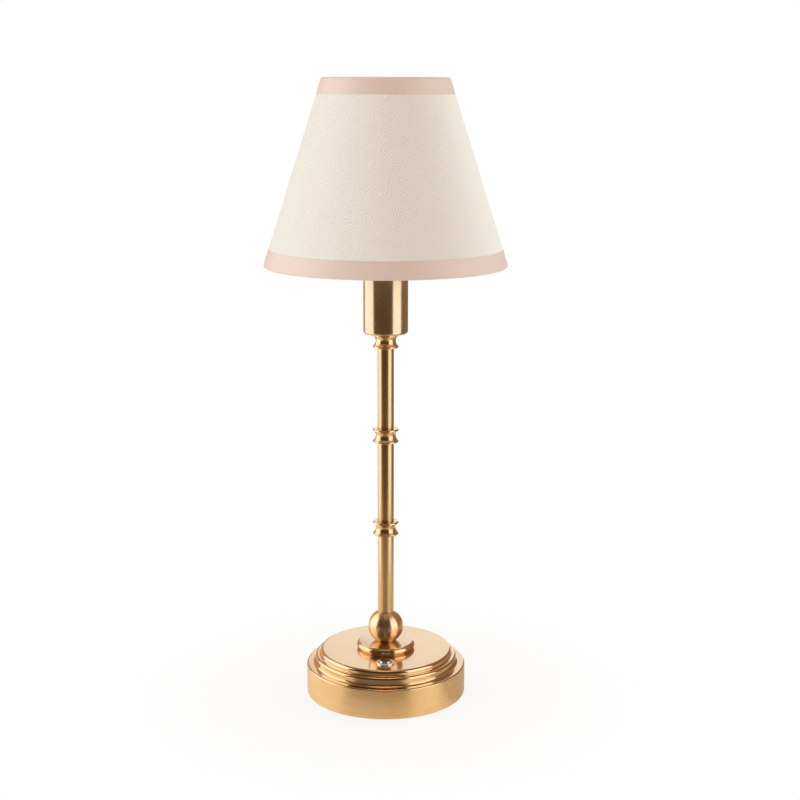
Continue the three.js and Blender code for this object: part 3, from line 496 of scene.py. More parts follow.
def coneTree():
    # A sheet wound into a cone: it starts at the rear, goes once round and laps over its own start.
    tree, given = startTree("woundCone", dict.fromkeys([
        "Bottom Radius", "Top Radius", "Bottom", "Height", "Lap Angle", "Lap Lift", "Bottom Tape",
        "Top Tape", "Tape Press"], "Float"))
    grid = addNode(tree, "GeometryNodeMeshGrid", {"Size X": 1.0, "Size Y": 1.0, "Vertices X": 241,
                                                  "Vertices Y": 90})
    where = addNode(tree, "SeparateXYZ", [addNode(tree, "GeometryNodeInputPosition")])
    along, up = [addNode(tree, "Math", [where.outputs[axis], 0.5], operation="ADD") for axis in ("X", "Y")]
    sweep = addNode(tree, "Math", [given["Lap Angle"], 2 * math.pi], operation="ADD")
    turned = addNode(tree, "Math", [along, sweep], operation="MULTIPLY")
    radius = addNode(tree, "MapRange", [up, 0.0, 1.0, given["Bottom Radius"], given["Top Radius"]])
    # Under the tapes, which take these shares of the height, the cloth is pressed in.
    down = addNode(tree, "Math", [1.0, up], operation="SUBTRACT")
    fromBottom = addNode(tree, "Math", [up, given["Bottom Tape"]], operation="DIVIDE")
    fromTop = addNode(tree, "Math", [down, given["Top Tape"]], operation="DIVIDE")
    fromEdge = addNode(tree, "Math", [fromBottom, fromTop], operation="MINIMUM")
    press = addNode(tree, "MapRange", [fromEdge, 0.85, 1.05, given["Tape Press"], 0.0],
                    interpolation_type="SMOOTHSTEP")
    pressed = addNode(tree, "Math", [radius, press], operation="SUBTRACT")
    lapStart = addNode(tree, "Math", [2 * math.pi, sweep], operation="DIVIDE")
    lapEase = addNode(tree, "Math", [lapStart, 0.006], operation="SUBTRACT")
    lift = addNode(tree, "MapRange", [along, lapEase, lapStart, 0.0, given["Lap Lift"]],
                   interpolation_type="SMOOTHSTEP")
    lifted = addNode(tree, "Math", [pressed, lift], operation="ADD")
    angle = addNode(tree, "Math", [turned, math.pi / 2], operation="ADD")
    height = addNode(tree, "Math", [up, given["Height"], given["Bottom"]], operation="MULTIPLY_ADD")
    spot = addNode(tree, "CombineXYZ", [*polar(tree, angle, lifted), height])
    # The flat cut: a cone opens into a sector, whose angle and radii follow from its slope.
    drop = addNode(tree, "Math", [given["Bottom Radius"], given["Top Radius"]], operation="SUBTRACT")
    slope = addNode(tree, "Math", [drop, given["Height"]], operation="ARCTAN2")
    share = addNode(tree, "Math", [slope], operation="SINE")
    half = addNode(tree, "Math", [sweep, 0.5], operation="MULTIPLY")
    fromMiddle = addNode(tree, "Math", [turned, half], operation="SUBTRACT")
    flatAngle = addNode(tree, "Math", [fromMiddle, share], operation="MULTIPLY")
    flatRadius = addNode(tree, "Math", [radius, share], operation="DIVIDE")
    flatSpot = addNode(tree, "CombineXYZ", polar(tree, flatAngle, flatRadius)[::-1])
    # The grid's own positions give both the cut and the cone, so the cut is stored before the grid is wound.
    stored = addNode(tree, "GeometryNodeStoreNamedAttribute", {
        "Geometry": grid, "Name": "flatCut", "Value": flatSpot}, data_type="FLOAT2", domain="CORNER")
    wound = addNode(tree, "GeometryNodeSetPosition", {"Geometry": stored, "Position": spot})
    return endTree(tree, given, wound)


repeatedPart = repeatTree()
screwThread = threadTree()
woundCone = coneTree()
print("trees made")


def repeated(name, part, count, step=(0.0, 0.0, 0.0), turn=0.0, start=0.0):  # the pattern part is used up
    whole = runTree(name, repeatedPart, part.data.materials[0], {
        "Part": part, "Count": count, "Step": step, "Turn": turn, "Start Angle": start})
    bpy.data.objects.remove(part)
    return whole


# Base

baseShape = {
    "lowerInset": 5.4, "lowerTop": 24.8, "lowerRound": 1.6, "lowerCove": 1.3,
    "upperInset": 3.1, "upperRound": 2.0, "upperCove": 0.5,
    "shoulderTop": 19.3, "shoulderRound": 1.2, "footRound": 0.8, "wall": 1.8, "roof": 1.6,
    "ledge": 0.9, "ledgeHeight": 3.6, "stemBore": 4.3, "socketSlack": 0.3, "switchHole": 5.0,
    "switchHoleDepth": 4.0, "cutPast": 2.0, "padEdge": 0.5,
}


def roundedBar(name, width, height, fromY, toY, centreZ, material, sides=14):
    # A bar along Y with round ends across X.
    radius = height / 2
    reach = width / 2 - radius
    outline = arcPoints(reach, centreZ, radius, -90, 90, sides)
    outline += arcPoints(-reach, centreZ, radius, 90, 270, sides)
    count = len(outline)
    vertices = [(x, y, z) for y in (fromY, toY) for x, z in outline]
    faces = [[i, (i + 1) % count, count + (i + 1) % count, count + i] for i in range(count)]
    faces += [list(range(count)), list(range(count, 2 * count))]
    return makeObject(name, vertices, faces, material)


def makeBase():
    s = baseShape
    low, high = boxOf("base_shell")
    wall, foot, top = high.x, low.z, high.z
    lower = wall - s["lowerInset"]
    upper = lower - s["upperInset"]
    inner = wall - s["wall"]
    shoulder, step, roof = s["shoulderTop"], s["lowerTop"], s["roof"]
    outline = [
        *corner(wall, foot, s["footRound"], -90, 8),
        *corner(wall, shoulder, s["shoulderRound"], 0, 12),
        *arcPoints(lower + s["lowerCove"], shoulder + s["lowerCove"], s["lowerCove"], 270, 180, 10),
        *corner(lower, step, s["lowerRound"], 0, 16),
        *arcPoints(upper + s["upperCove"], step + s["upperCove"], s["upperCove"], 270, 180, 6),
        *corner(upper, top, s["upperRound"], 0, 18),
        (s["stemBore"], top),
        (s["stemBore"], top - roof),
        (upper - roof, top - roof),
        (upper - roof, step - roof),
        (lower - roof, step - roof),
        (lower - roof, shoulder - roof),
        (inner, shoulder - roof),
        (inner, s["ledgeHeight"]),
        (wall - s["ledge"], s["ledgeHeight"]),
        (wall - s["ledge"], foot),
    ]
    shell = turnedPiece("turnedBase", outline, stepBrass, 256)
    low, high = boxOf("usb_c_socket")
    slack, past = 2 * s["socketSlack"], s["cutPast"]
    slot = roundedBar("socketCut", high.x - low.x + slack, high.z - low.z + slack, inner - past, wall + past,
                      (low.z + high.z) / 2, brass)
    bore, bottom, above = s["switchHole"], top - s["switchHoleDepth"], top + past
    hole = turnedPiece("switchCut", [(0, bottom), (bore, bottom), (bore, above), (0, above)], brass, 48,
                       switchCentre)
    shell = cutAway(shell, [slot, hole])
    # The side faces take the lighter, partly diffuse brass: painted light on the base's side.
    shell.data.materials.append(wallLitBrass)
    for face in shell.data.polygons:
        middle = face.center / mm
        if abs(face.normal.z) < 0.5 and math.hypot(middle.x, middle.y) > wall - s["shoulderRound"]:
            face.material_index = 1
    place(shell, "root", "brass", "base_shell")


def makePad():
    low, high = boxOf("base_pad")
    edge = baseShape["padEdge"]
    outline = [(0, low.z), *corner(high.x, low.z, edge, -90, 5), *corner(high.x, high.z, edge, 0, 5),
               (0, high.z)]
    place(turnedPiece("feltPad", outline, stuff["pressedFelt"]), "root", "felt", "base_pad")


# Charging socket in the rear wall, a stadium shell with its tongue and contacts
socketShape = {
    "wall": 0.3, "lipRound": 0.12, "floor": 1.5, "tongueHalf": 3.3, "tongueThick": 0.7, "tongueFrom": 1.0,
    "tongueBack": 1.0, "contacts": 12, "contactPitch": 0.5, "contactWidth": 0.26, "contactThick": 0.08,
    "contactFrom": 2.0, "contactBack": 0.4, "cutPast": 1.0,
}


def makeSocket():
    s = socketShape
    low, high = boxOf("usb_c_socket")
    centre = (low.z + high.z) / 2
    width, height = high.x - low.x, high.z - low.z
    nickel = stuff["nickelWire"]
    shell = roundedBar("socketShell", width, height, low.y, high.y, centre, nickel)
    hollow = roundedBar("socketHollow", width - 2 * s["wall"], height - 2 * s["wall"], low.y + s["floor"],
                        high.y + s["cutPast"], centre, nickel)
    shell = cutAway(shell, [hollow])
    bevel = shell.modifiers.new("lip", "BEVEL")
    bevel.width = s["lipRound"] * mm
    bevel.segments = 2
    bevel.limit_method = "ANGLE"
    bevel.angle_limit = math.radians(60)
    shell = toMesh(shell, "socketShell", nickel)
    front = high.y - s["tongueBack"]
    tongue = roundedBar("socketTongue", 2 * s["tongueHalf"], s["tongueThick"], low.y + s["tongueFrom"], front,
                        centre, stuff["blackABS"], 6)
    strip = roundedBar("contactStrip", s["contactWidth"], s["contactThick"], low.y + s["contactFrom"],
                       front - s["contactBack"], centre + s["tongueThick"] / 2, brass, 3)
    start = -s["contactPitch"] * (s["contacts"] - 1) / 2
    strip.data.transform(Matrix.Translation((start * mm, 0, 0)))
    contacts = repeated("socketContacts", strip, s["contacts"], (s["contactPitch"] * mm, 0.0, 0.0))
    place(shell, "root", "steel", "usb_c_socket")
    place(tongue, "root", "black_plastic", "usb_c_socket")
    place(contacts, "root", "brass", "usb_c_socket")


# Stem

stemShape = {
    "bore": 4.3, "edge": 0.35, "flangeBead": 2.25, "beadTurn": 68, "flangeFoot": 0.8, "flangeLand": 0.7,
    "flangeLine": 0.2, "ballSeat": 5.6, "collarLip": 1.2, "lipEdge": 0.75, "coveEdge": 0.25,
    "collarDepth": 1.6, "collarFlare": 2.0, "coveStart": 0.02,
    "cupRound": 2.0, "cupWall": 1.0, "cupFloor": 1.6, "cupEdge": 0.3,
}


def makeFlange():
    # A disc whose edge is one full bead: a fine line parts it from the flat top, and it rolls in to the base.
    s = stemShape
    low, high = boxOf("stem_flange")
    bead, line = s["flangeBead"], s["flangeLine"]
    beadCentre = high.x - bead
    outline = [
        (s["bore"], low.z),
        (beadCentre + s["flangeFoot"], low.z),
        *arcPoints(beadCentre, high.z - line - bead, bead, -s["beadTurn"], s["beadTurn"], 44),
        *arcPoints(beadCentre + s["flangeLand"], high.z - line, line, 0, 90, 4),
        (s["bore"], high.z),
    ]
    place(turnedPiece("stemFlange", outline, brightBrass), "root", "brass", "stem_flange")


def makeBall():
    s = stemShape
    low, high = boxOf("stem_ball")
    radius = high.x
    centre = low.z + math.sqrt(radius ** 2 - s["ballSeat"] ** 2)
    fromAngle = -math.degrees(math.acos(s["ballSeat"] / radius))
    toAngle = math.degrees(math.asin((high.z - centre) / radius))
    surface = arcPoints(0, centre, radius, fromAngle, toAngle, 60)
    outline = [(s["bore"], low.z), *surface, (s["bore"], high.z)]
    place(turnedPiece("stemBall", outline, ballLitBrass, 128), "root", "brass", "stem_ball")


def makeTubes():
    bore, edge = stemShape["bore"], stemShape["edge"]
    for span in ("lower", "middle", "upper"):
        low, high = boxOf("stem_tube_" + span)
        outline = [(bore, low.z), *corner(high.x, low.z, edge, -90, 4), *corner(high.x, high.z, edge, 0, 4),
                   (bore, high.z)]
        # the lowest tube takes the lighter copy: painted light for the table it mirrors
        tube = turnedPiece(span + "StemTube", outline, lowTubeLitBrass if span == "lower" else tubeBrass, 96)
        place(tube, "root", "brass", "stem_tube_" + span)


def makeCollars():
    # One turned spool, repeated up the stem at the collars' pitch.
    s = stemShape
    low, high = boxOf("stem_collar_lower")
    step = boxOf("stem_collar_middle")[0].z - low.z
    lipRadius = high.x
    half = (high.z - low.z) / 2
    centre = (high.z + low.z) / 2
    cove = half - s["collarLip"]
    lowerLip = [*corner(lipRadius, -half, s["lipEdge"], -90, 6),
                *corner(lipRadius, -cove, s["coveEdge"], 0, 4)]
    steps = 20
    hollow = []
    for i in range(steps + 1):
        share = 2 * i / steps - 1
        flare = 1 - abs(share) ** s["collarFlare"]
        radius = lipRadius - s["coveEdge"] - s["collarDepth"] * flare
        hollow.append((radius, (cove - s["coveStart"]) * share))
    upperLip = [(r, -z) for r, z in reversed(lowerLip)]
    outline = [(s["bore"], -half), *lowerLip, *hollow, *upperLip, (s["bore"], half)]
    spool = turnedPiece("spoolPattern", [(r, z + centre) for r, z in outline], brightBrass, 112)
    collars = repeated("spoolCollars", spool, 3, (0.0, 0.0, step * mm))
    place(collars, "root", "brass", "stem_collar_lower", "stem_collar_middle", "stem_collar_upper")


def makeCup():
    s = stemShape
    low, high = boxOf("socket_cup")
    outer = high.x
    inner = outer - s["cupWall"]
    floor = low.z + s["cupFloor"]
    outline = [
        (s["bore"], low.z),
        *corner(outer, low.z, s["cupRound"], -90, 14),
        *corner(outer, high.z, s["cupEdge"], 0, 4),
        *corner(inner, high.z, s["cupEdge"], 90, 4),
        (inner, floor),
        (s["bore"], floor),
    ]
    place(turnedPiece("socketCup", outline, brass, 128), "root", "brass", "socket_cup")


# Switch

switchShape = {
    "bore": 3.95, "boreEdge": 0.3, "bush": 4.7, "bezelEdge": 0.5, "bezelFoot": 0.15,
    "buttonRound": 0.5, "buttonDish": 0.05, "buttonCap": 4.0, "plunger": 1.5, "plungerFoot": 2.8,
    "footThick": 1.0, "springWire": 0.25, "springTurns": 4.0, "travel": 0.8,
}


def makeSwitch():
    s = switchShape
    low, high = boxOf("switch_bezel")
    outer = (high.x - low.x) / 2
    flangeBottom = boxOf("base_shell")[1].z
    outline = [
        (s["bore"], low.z),
        (s["bush"], low.z),
        (s["bush"], flangeBottom),
        *corner(outer, flangeBottom, s["bezelFoot"], -90, 3),
        *corner(outer, high.z, s["bezelEdge"], 0, 8),
        *corner(s["bore"], high.z, s["boreEdge"], 90, 6),
    ]
    bezel = turnedPiece("switchBezel", outline, bezelLitChrome, 96, switchCentre)
    place(bezel, "root", "chrome", "switch_bezel")
    low, high = boxOf("switch_button")
    radius = (high.x - low.x) / 2
    flat = radius - s["buttonRound"]
    footTop, capBottom = low.z + s["footThick"], high.z - s["buttonCap"]
    outline = [
        (0, low.z),
        (s["plungerFoot"], low.z),
        (s["plungerFoot"], footTop),
        (s["plunger"], footTop),
        (s["plunger"], capBottom),
        (radius, capBottom),
        *corner(radius, high.z, s["buttonRound"], 0, 10),
        *[(r, high.z - s["buttonDish"] * (1 - (r / flat) ** 2)) for r in (2.4, 1.8, 1.2, 0.6, 0)],
    ]
    button = turnedPiece("switchButton", outline, chrome, 96, switchCentre)
    place(button, "button", "chrome", "switch_button")


def makeSpring():
    # The coil under the button.
    s = switchShape
    low, high = boxOf("switch_spring")
    wire = s["springWire"]
    tall = high.z - low.z
    coil = runTree("returnSpring", screwThread, stuff["nickelWire"], {
        "Radius": ((high.x - low.x) / 2 - wire) * mm, "Pitch": (tall - 2 * wire) / s["springTurns"] * mm,
        "Turns": s["springTurns"], "Bottom": (low.z + wire) * mm, "Ridge": wire * mm})
    middle = Vector((*switchCentre, 0)) * mm
    coil.data.transform(Matrix.Translation(middle))
    place(coil, "root", "steel", "switch_spring")
    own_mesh(coil)


# Lamp head under the shade

headShape = {
    "wall": 1.8, "floor": 2.0, "neck": 11.7, "neckEdge": 0.5, "cupGap": 0.3, "shoulderEdge": 0.2,
    "threadPitch": 2.0, "threadTurns": 3.6, "threadRidge": 0.28, "threadStart": 1.2, "threadSink": 0.06,
    "domeWall": 1.0, "domeGap": 0.3, "domeEdge": 0.3,
}


def makeHolder():
    s = headShape
    low, high = boxOf("led_holder")
    bore = high.x - s["wall"]
    cupTop = boxOf("socket_cup")[1].z - s["cupGap"]
    floor = low.z + s["floor"]
    white = stuff["whitePolycarbonate"]
    outline = [
        (stemShape["bore"], low.z),
        (high.x, low.z),
        *corner(high.x, cupTop, s["shoulderEdge"], 0, 3),
        (s["neck"], cupTop),
        *corner(s["neck"], high.z, s["neckEdge"], 0, 6),
        (bore, high.z),
        (bore, floor),
        (stemShape["bore"], floor),
    ]
    holder = turnedPiece("lampHolder", outline, white, 128)
    thread = runTree("neckThread", screwThread, white, {
        "Radius": (s["neck"] - s["threadSink"]) * mm, "Pitch": s["threadPitch"] * mm,
        "Turns": s["threadTurns"], "Bottom": (cupTop + s["threadStart"]) * mm,
        "Ridge": s["threadRidge"] * mm})
    place(joined("threadedHolder", [holder, thread]), "root", "white_plastic", "led_holder")


def makeDome():
    s = headShape
    low, high = boxOf("diffuser_dome")
    holderTop = boxOf("led_holder")[1]
    radius, neckTop = high.x, holderTop.z
    wall = s["domeWall"]
    crown = high.z - radius
    skirt = holderTop.x - s["wall"] - s["domeGap"]
    outline = [
        *arcPoints(0, crown, radius - wall, 90, 0, 28),
        (radius - wall, neckTop + wall),
        (skirt - wall, neckTop),
        (skirt - wall, low.z),
        (skirt, low.z),
        (skirt, neckTop),
        *corner(radius, neckTop, s["domeEdge"], -90, 4),
        *arcPoints(0, crown, radius, 0, 90, 36),
    ]
    place(turnedPiece("opalDome", outline, stuff["opalAcrylic"], 128), "root", "opal", "diffuser_dome")


# Shade

shadeShape = {
    "tape": 0.4, "tapeWall": 0.32, "clothDepth": 0.1, "gap": 0.05, "cloth": 0.4, "film": 0.5,
    "topTape": 10.0, "bottomTape": 11.0, "foldRoom": 0.5, "tapeLift": 0.3, "wire": 1.25, "lap": 9.0,
    "lapLift": 0.5,
}
shadeLow, shadeHigh = boxOf("shade_bottom_trim")[0], boxOf("shade_top_trim")[1]
bottomRadius = boxOf("shade_bottom_trim")[1].x
topRadius = boxOf("shade_top_trim")[1].x  # widest place of the top tape, at its lower edge
shadeHeight = shadeHigh.z - shadeLow.z
topTapeDrop = shadeHigh.z - boxOf("shade_top_trim")[0].z
coneSlope = (topRadius - bottomRadius) / (shadeHeight - topTapeDrop)
slant = math.hypot(1, coneSlope)


def coneRadius(height, depth):  # height over the lower rim, depth inside the outermost surface
    return bottomRadius + coneSlope * height - depth * slant


def woundSheet(name, material, depth, thickness, bottom, top, press=0.0):
    s = shadeShape
    middle = depth + thickness / 2
    tall = (top - bottom) * slant
    sheet = runTree(name, woundCone, material, {
        "Bottom Radius": coneRadius(bottom, middle) * mm, "Top Radius": coneRadius(top, middle) * mm,
        "Bottom": (shadeLow.z + bottom) * mm, "Height": (top - bottom) * mm,
        "Lap Angle": s["lap"] / bottomRadius, "Lap Lift": s["lapLift"] * mm,
        "Bottom Tape": s["bottomTape"] / tall, "Top Tape": s["topTape"] / tall, "Tape Press": press * mm})
    return solidified(sheet, thickness)


def tapeStrip(name, profile):
    # A folded strip laid round the rim, whose end rises and laps over its start at the rear.
    turns = 300
    ease = 0.04  # radians in which the end rises
    start = profile[0][0]
    sweep = 2 * math.pi + shadeShape["lap"] / start
    vertices = []
    cut = []
    for i in range(turns + 1):
        share = i / turns
        angle = math.pi / 2 + share * sweep
        over = min(max((share * sweep - 2 * math.pi + ease) / ease, 0), 1)
        lift = shadeShape["tapeLift"] * over * over * (3 - 2 * over)
        along = 0
        for j, (radius, height, outR, outZ) in enumerate(profile):
            r = radius + outR * lift
            vertices.append((r * math.cos(angle), r * math.sin(angle), height + outZ * lift))
            if j:
                along += math.dist(profile[j][:2], profile[j - 1][:2])
            cut.append((share * 2 * math.pi * start * mm, along * mm))
    count = len(profile)
    downwards = profile[1][1] < profile[0][1]
    faces = []
    for i in range(turns):
        for j in range(count - 1):
            here, ahead = i * count + j, (i + 1) * count + j
            if downwards:  # either way the face looks out of the fold
                faces.append([here, here + 1, ahead + 1, ahead])
            else:
                faces.append([here, ahead, ahead + 1, here + 1])
    mesh = makeMesh(name, vertices, faces, tapeCloth)
    layer = mesh.uv_layers.new(name="flatCut")
    for loop in mesh.loops:
        layer.data[loop.index].uv = cut[loop.vertex_index]
    return solidified(addObject(name, mesh), shadeShape["tapeWall"], inwards=True)


def tapeProfile(rim, width):
    # Outer face of the tape in the shade's section: up the cloth, round the rim and round the wire inside.
    s = shadeShape
    up = 1 if rim == 0 else -1
    end = rim + up * width / slant
    outwards = (1 / slant, -coneSlope / slant)
    half = (s["tape"] + 2 * s["gap"] + s["cloth"] + s["film"]) / 2 + s["foldRoom"]
    foldHeight = rim + up * half
    foldRadius = coneRadius(foldHeight, half)
    points = []
    flatSteps, foldSteps = 6, 12
    for i in range(flatSteps + 1):
        height = end + (foldHeight - end) * i / flatSteps
        points.append((coneRadius(height, 0), shadeLow.z + height, *outwards))
    base = math.atan2(outwards[1], outwards[0])
    for i in range(1, foldSteps + 1):
        angle = base - up * math.pi * i / foldSteps
        out = (math.cos(angle), math.sin(angle))
        points.append((foldRadius + half * out[0], shadeLow.z + foldHeight + half * out[1], *out))
    for i in (1, 2, 3):  # millimetres past the fold, on the inner side
        height = foldHeight + up * i
        points.append((coneRadius(height, 2 * half), shadeLow.z + height, -outwards[0], -outwards[1]))
    return points


def makeShadeCloth():
    s = shadeShape
    fold = s["tape"] + s["gap"]
    clothDepth = s["clothDepth"]
    top = shadeHeight - fold
    cloth = woundSheet("linenCone", linen, clothDepth, s["cloth"], fold, top, s["tape"] - clothDepth)
    topTape = tapeStrip("topTape", tapeProfile(shadeHeight, s["topTape"]))
    bottomTape = tapeStrip("bottomTape", tapeProfile(0, s["bottomTape"]))
    place(topTape, "shade", "tape", "shade_top_trim")
    place(bottomTape, "shade", "tape", "shade_bottom_trim")
    place(cloth, "shade", "linen", "shade_fabric")
    filmDepth = s["tape"] + s["cloth"] + s["gap"]
    film = woundSheet("shadeFilm", stuff["whiteShadeFilm"], filmDepth, s["film"], fold, top)
    place(film, "shade", "liner", "shade_liner")


# Fitter and the ring that holds it down

fitterShape = {
    "bore": 12.0, "hub": 18.5, "hubThick": 1.6, "hubEdge": 0.3, "armWire": 1.3, "arms": 3, "armStart": 90,
    "ringEdge": 0.6, "ringRibs": 36, "ribRadius": 0.75, "ribOut": 0.45, "ribFoot": 0.4,
    "ribFootRadius": 0.45, "ribFull": 1.0, "ribEnd": 0.25,
}


def wireRing(name, height, radius):
    section = arcPoints(radius, height, shadeShape["wire"], 0, 360, 20)[:-1]
    return turnedPiece(name, section, stuff["nickelWire"])


def makeFitter():
    s = fitterShape
    low, high = boxOf("shade_fitter")
    wire = shadeShape["wire"]
    ringHeight = low.z + wire
    ringRadius = high.x - wire
    bore, hub, edge = s["bore"], s["hub"], s["hubEdge"]
    hubTop, hubBottom = high.z, high.z - s["hubThick"]
    outline = [
        *corner(bore, hubBottom, edge, 180, 4),
        *corner(hub, hubBottom, edge, -90, 4),
        *corner(hub, hubTop, edge, 0, 4),
        *corner(bore, hubTop, edge, 90, 4),
    ]
    washer = turnedPiece("fitterHub", outline, stuff["nickelWire"], 120)
    armHeight = (hubTop + hubBottom) / 2
    line = [  # level out of the hub, down on a smooth path and level into the wire ring
        (hub - 2.2, 0, armHeight),
        (hub + 2, 0, armHeight),
        (hub + 8, 0, armHeight - 0.4),
        (ringRadius * 0.52, 0, armHeight - 1.6),
        (ringRadius * 0.72, 0, ringHeight + 2.6),
        (ringRadius - 9, 0, ringHeight + 0.6),
        (ringRadius - 4, 0, ringHeight),
        (ringRadius, 0, ringHeight),
    ]
    arm = sweptPiece("armPattern", line, s["armWire"], stuff["nickelWire"])
    arms = repeated("fitterArms", arm, s["arms"], turn=2 * math.pi, start=math.radians(s["armStart"]))
    ring = wireRing("fitterRing", ringHeight, ringRadius)
    place(joined("shadeFitter", [washer, arms, ring]), "shade", "steel", "shade_fitter")
    low, high = boxOf("shade_top_ring")
    top = wireRing("topWire", (low.z + high.z) / 2, high.x - wire)
    place(top, "shade", "steel", "shade_top_ring")


def makeRetainingRing():
    # A moulded screw ring: a turned body with rounded ribs for the fingers.
    s = fitterShape
    low, high = boxOf("retaining_ring")
    rib, edge = s["ribRadius"], s["ringEdge"]
    outer = high.x - s["ribOut"]
    outline = [
        (s["bore"], low.z),
        *corner(outer, low.z, edge, -90, 5),
        *corner(outer, high.z, edge, 0, 5),
        *corner(s["bore"], high.z, edge, 90, 5),
    ]
    body = turnedPiece("ringBody", outline, stuff["whitePolycarbonate"], 144)
    ribBottom = low.z + s["ribFoot"]
    ribOutline = [(0, ribBottom), (s["ribFootRadius"], ribBottom), (rib, low.z + s["ribFull"]),
                  *arcPoints(0, high.z - s["ribFull"], rib, 0, 80, 6), (0, high.z - s["ribEnd"])]
    pattern = turnedPiece("ribPattern", ribOutline, stuff["whitePolycarbonate"], 16, (high.x - rib, 0))
    ribs = repeated("ringRibs", pattern, s["ringRibs"], turn=2 * math.pi)
    place(joined("retainingRing", [body, ribs]), "ring", "white_plastic", "retaining_ring")


makeBase()
makePad()
makeSocket()
print("base made")
makeFlange()
makeBall()
makeTubes()
makeCollars()
makeCup()
makeSwitch()
makeSpring()
print("stem and switch made")
makeHolder()
makeDome()
makeShadeCloth()
makeFitter()
makeRetainingRing()
print("head and shade made")


# Pieces inside the housing keep their CAD shape and get their real stuff
innerStuffs = {
    "zincPlatedSteel": ["base_plate", "rod_bush", "battery_contact_rear", "battery_contact_front",
                        "switch_nut", "tie_rod", "cup_washer", "cup_nut",
                        *["plate_screw_%d" % i for i in range(1, 7)]],
    "castIron": ["ballast_weight_right", "ballast_weight_left"],
    "blackABS": ["battery_tray", "switch_body"],
    "whitePolycarbonate": ["switch_contact_block"],
    "blueShrinkSleeve": ["battery_cell_left", "battery_cell_right"],
    "greenBoard": ["control_board"],
    "blackWireSleeve": ["cell_lead", "switch_lead", "led_lead"],
    "extrudedAluminium": ["led_heatsink", "led_board"],
    "yellowPhosphor": ["led_emitter"],
}
for stuffName, nodes in innerStuffs.items():
    for node in nodes:
        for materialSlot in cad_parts[node].material_slots:
            materialSlot.material = stuff[stuffName]


# Stage: a round light table in a white room, soft boxes beside it, dark cards round it and a light above

stageLook = {
    "tableRadius": 280, "tableDrop": 0.05, "tableColour": "#F8F0E4", "tableGlow": 0.8,
    "shadowRadius": 190, "shadowCore": 0.3, "shadowShare": 0.16,
    "glowColour": "#FFE6C2", "shadeColour": "#3C2A18", "nearRadius": 90, "nearCore": 0.8,
    # in front and at the right the table is dark: azimuth, the two cosines of its edge, and how dark
    "darkSides": [(-9, 0.78, 0.9, 1.0), (100, 0.74, 0.84, 0.5)],
    "fill": 0.76, "fillColour": (1.0, 0.968, 0.937, 1.0), "boxColour": (0.93, 1.01, 1.27),
    "softColour": (0.73, 1.0, 1.24), "boxHeight": 200, "cardDistance": 1500, "cardColour": "#FFD3AD",
    # name, azimuth, width, height, distance and watts
    "boxes": [("leftBox", -99, 1690, 2400, 1300, 7.7), ("rightBox", 61, 1140, 2400, 1300, 5.3)],
    "fills": [("leftFill", -66, 1200, 1600, 1400, 11.9), ("rightFill", 100, 1000, 1600, 1400, 13.0)],
    # name, from and to azimuth, lower and upper edge, and light
    "cards": [("frontCard", -66, 38, -200, 350, 0.12), ("highFrontCard", -66, 38, 350, 1900, 0.04),
              ("lowFrontCard", -66, 38, -1300, -200, 0.15), ("rearCard", 85, 160, -1300, 1900, 0.28),
              ("leftCard", -172, -131, -1300, 1900, 0.55)],
    # name, radius, height and light
    "discs": [("ceilingCard", 1500, 1900, 0.22), ("topLight", 420, 1850, 3.0)],
}


def direction(azimuth):  # 0 is towards the camera, 90 to its right
    angle = math.radians(azimuth)
    return Vector((math.sin(angle), -math.cos(angle), 0))


def tableMaterial():
    # A light table: the camera sees it as white as the room, with only the lamp's shadow on it, the metal
    # sees it lit from both sides and dark in front, and from below it isn't there.
    s = stageLook
    material = bpy.data.materials.new("whiteTable")
    material.use_nodes = True
    tree = material.node_tree
    tree.nodes.clear()
    atCamera = addNode(tree, "LightPath").outputs["Is Camera Ray"]
    spot = addNode(tree, "TexCoord").outputs["Object"]
    away = addNode(tree, "VectorMath", [spot], operation="LENGTH")
    shadow, near = s["shadowRadius"] * mm, s["nearRadius"] * mm
    white = addNode(tree, "MapRange", [away, s["shadowCore"] * shadow, shadow, 1 - s["shadowShare"], 1.0],
                    interpolation_type="SMOOTHSTEP")
    share = addNode(tree, "Mix", {"Factor": atCamera, "A": s["tableGlow"], "B": white}, data_type="FLOAT")
    outward = addNode(tree, "VectorMath", [spot], operation="NORMALIZE")
    darks = []
    for azimuth, fromCosine, toCosine, most in s["darkSides"]:
        facing = addNode(tree, "VectorMath", [outward, direction(azimuth)], operation="DOT_PRODUCT")
        darks.append(addNode(tree, "MapRange", [facing, fromCosine, toCosine, 0.0, most],
                             interpolation_type="SMOOTHSTEP"))
    beyond = addNode(tree, "MapRange", [away, s["nearCore"] * near, near], interpolation_type="SMOOTHSTEP")
    frontDark = addNode(tree, "Math", [darks[0], beyond], operation="MULTIPLY")
    dark = addNode(tree, "Math", [frontDark, darks[1]], operation="MAXIMUM")
    lit = addNode(tree, "Mix", {"Factor": dark, "A": linearColour(s["glowColour"]),
                                "B": linearColour(s["shadeColour"])}, data_type="RGBA")
    light = addNode(tree, "Mix", {"Factor": atCamera, "A": lit, "B": (1, 1, 1, 1)}, data_type="RGBA")
    paint = addNode(tree, "BsdfDiffuse", {"Color": linearColour(s["tableColour"])})
    glow = addNode(tree, "Emission", {"Color": light, "Strength": 1.0})
    mixed = addNode(tree, "MixShader", [share, paint, glow])
    below = addNode(tree, "NewGeometry").outputs["Backfacing"]
    surface = addNode(tree, "MixShader", [below, mixed, addNode(tree, "BsdfTransparent")])
    addNode(tree, "OutputMaterial", {"Surface": surface})
    return material


def makeTable():
    s = stageLook
    turns = 96
    angles = [2 * math.pi * i / turns for i in range(turns)]
    vertices = [(s["tableRadius"] * math.cos(a), s["tableRadius"] * math.sin(a), -s["tableDrop"])
                for a in angles]
    makeObject("roundTable", vertices, [list(range(turns))], tableMaterial())


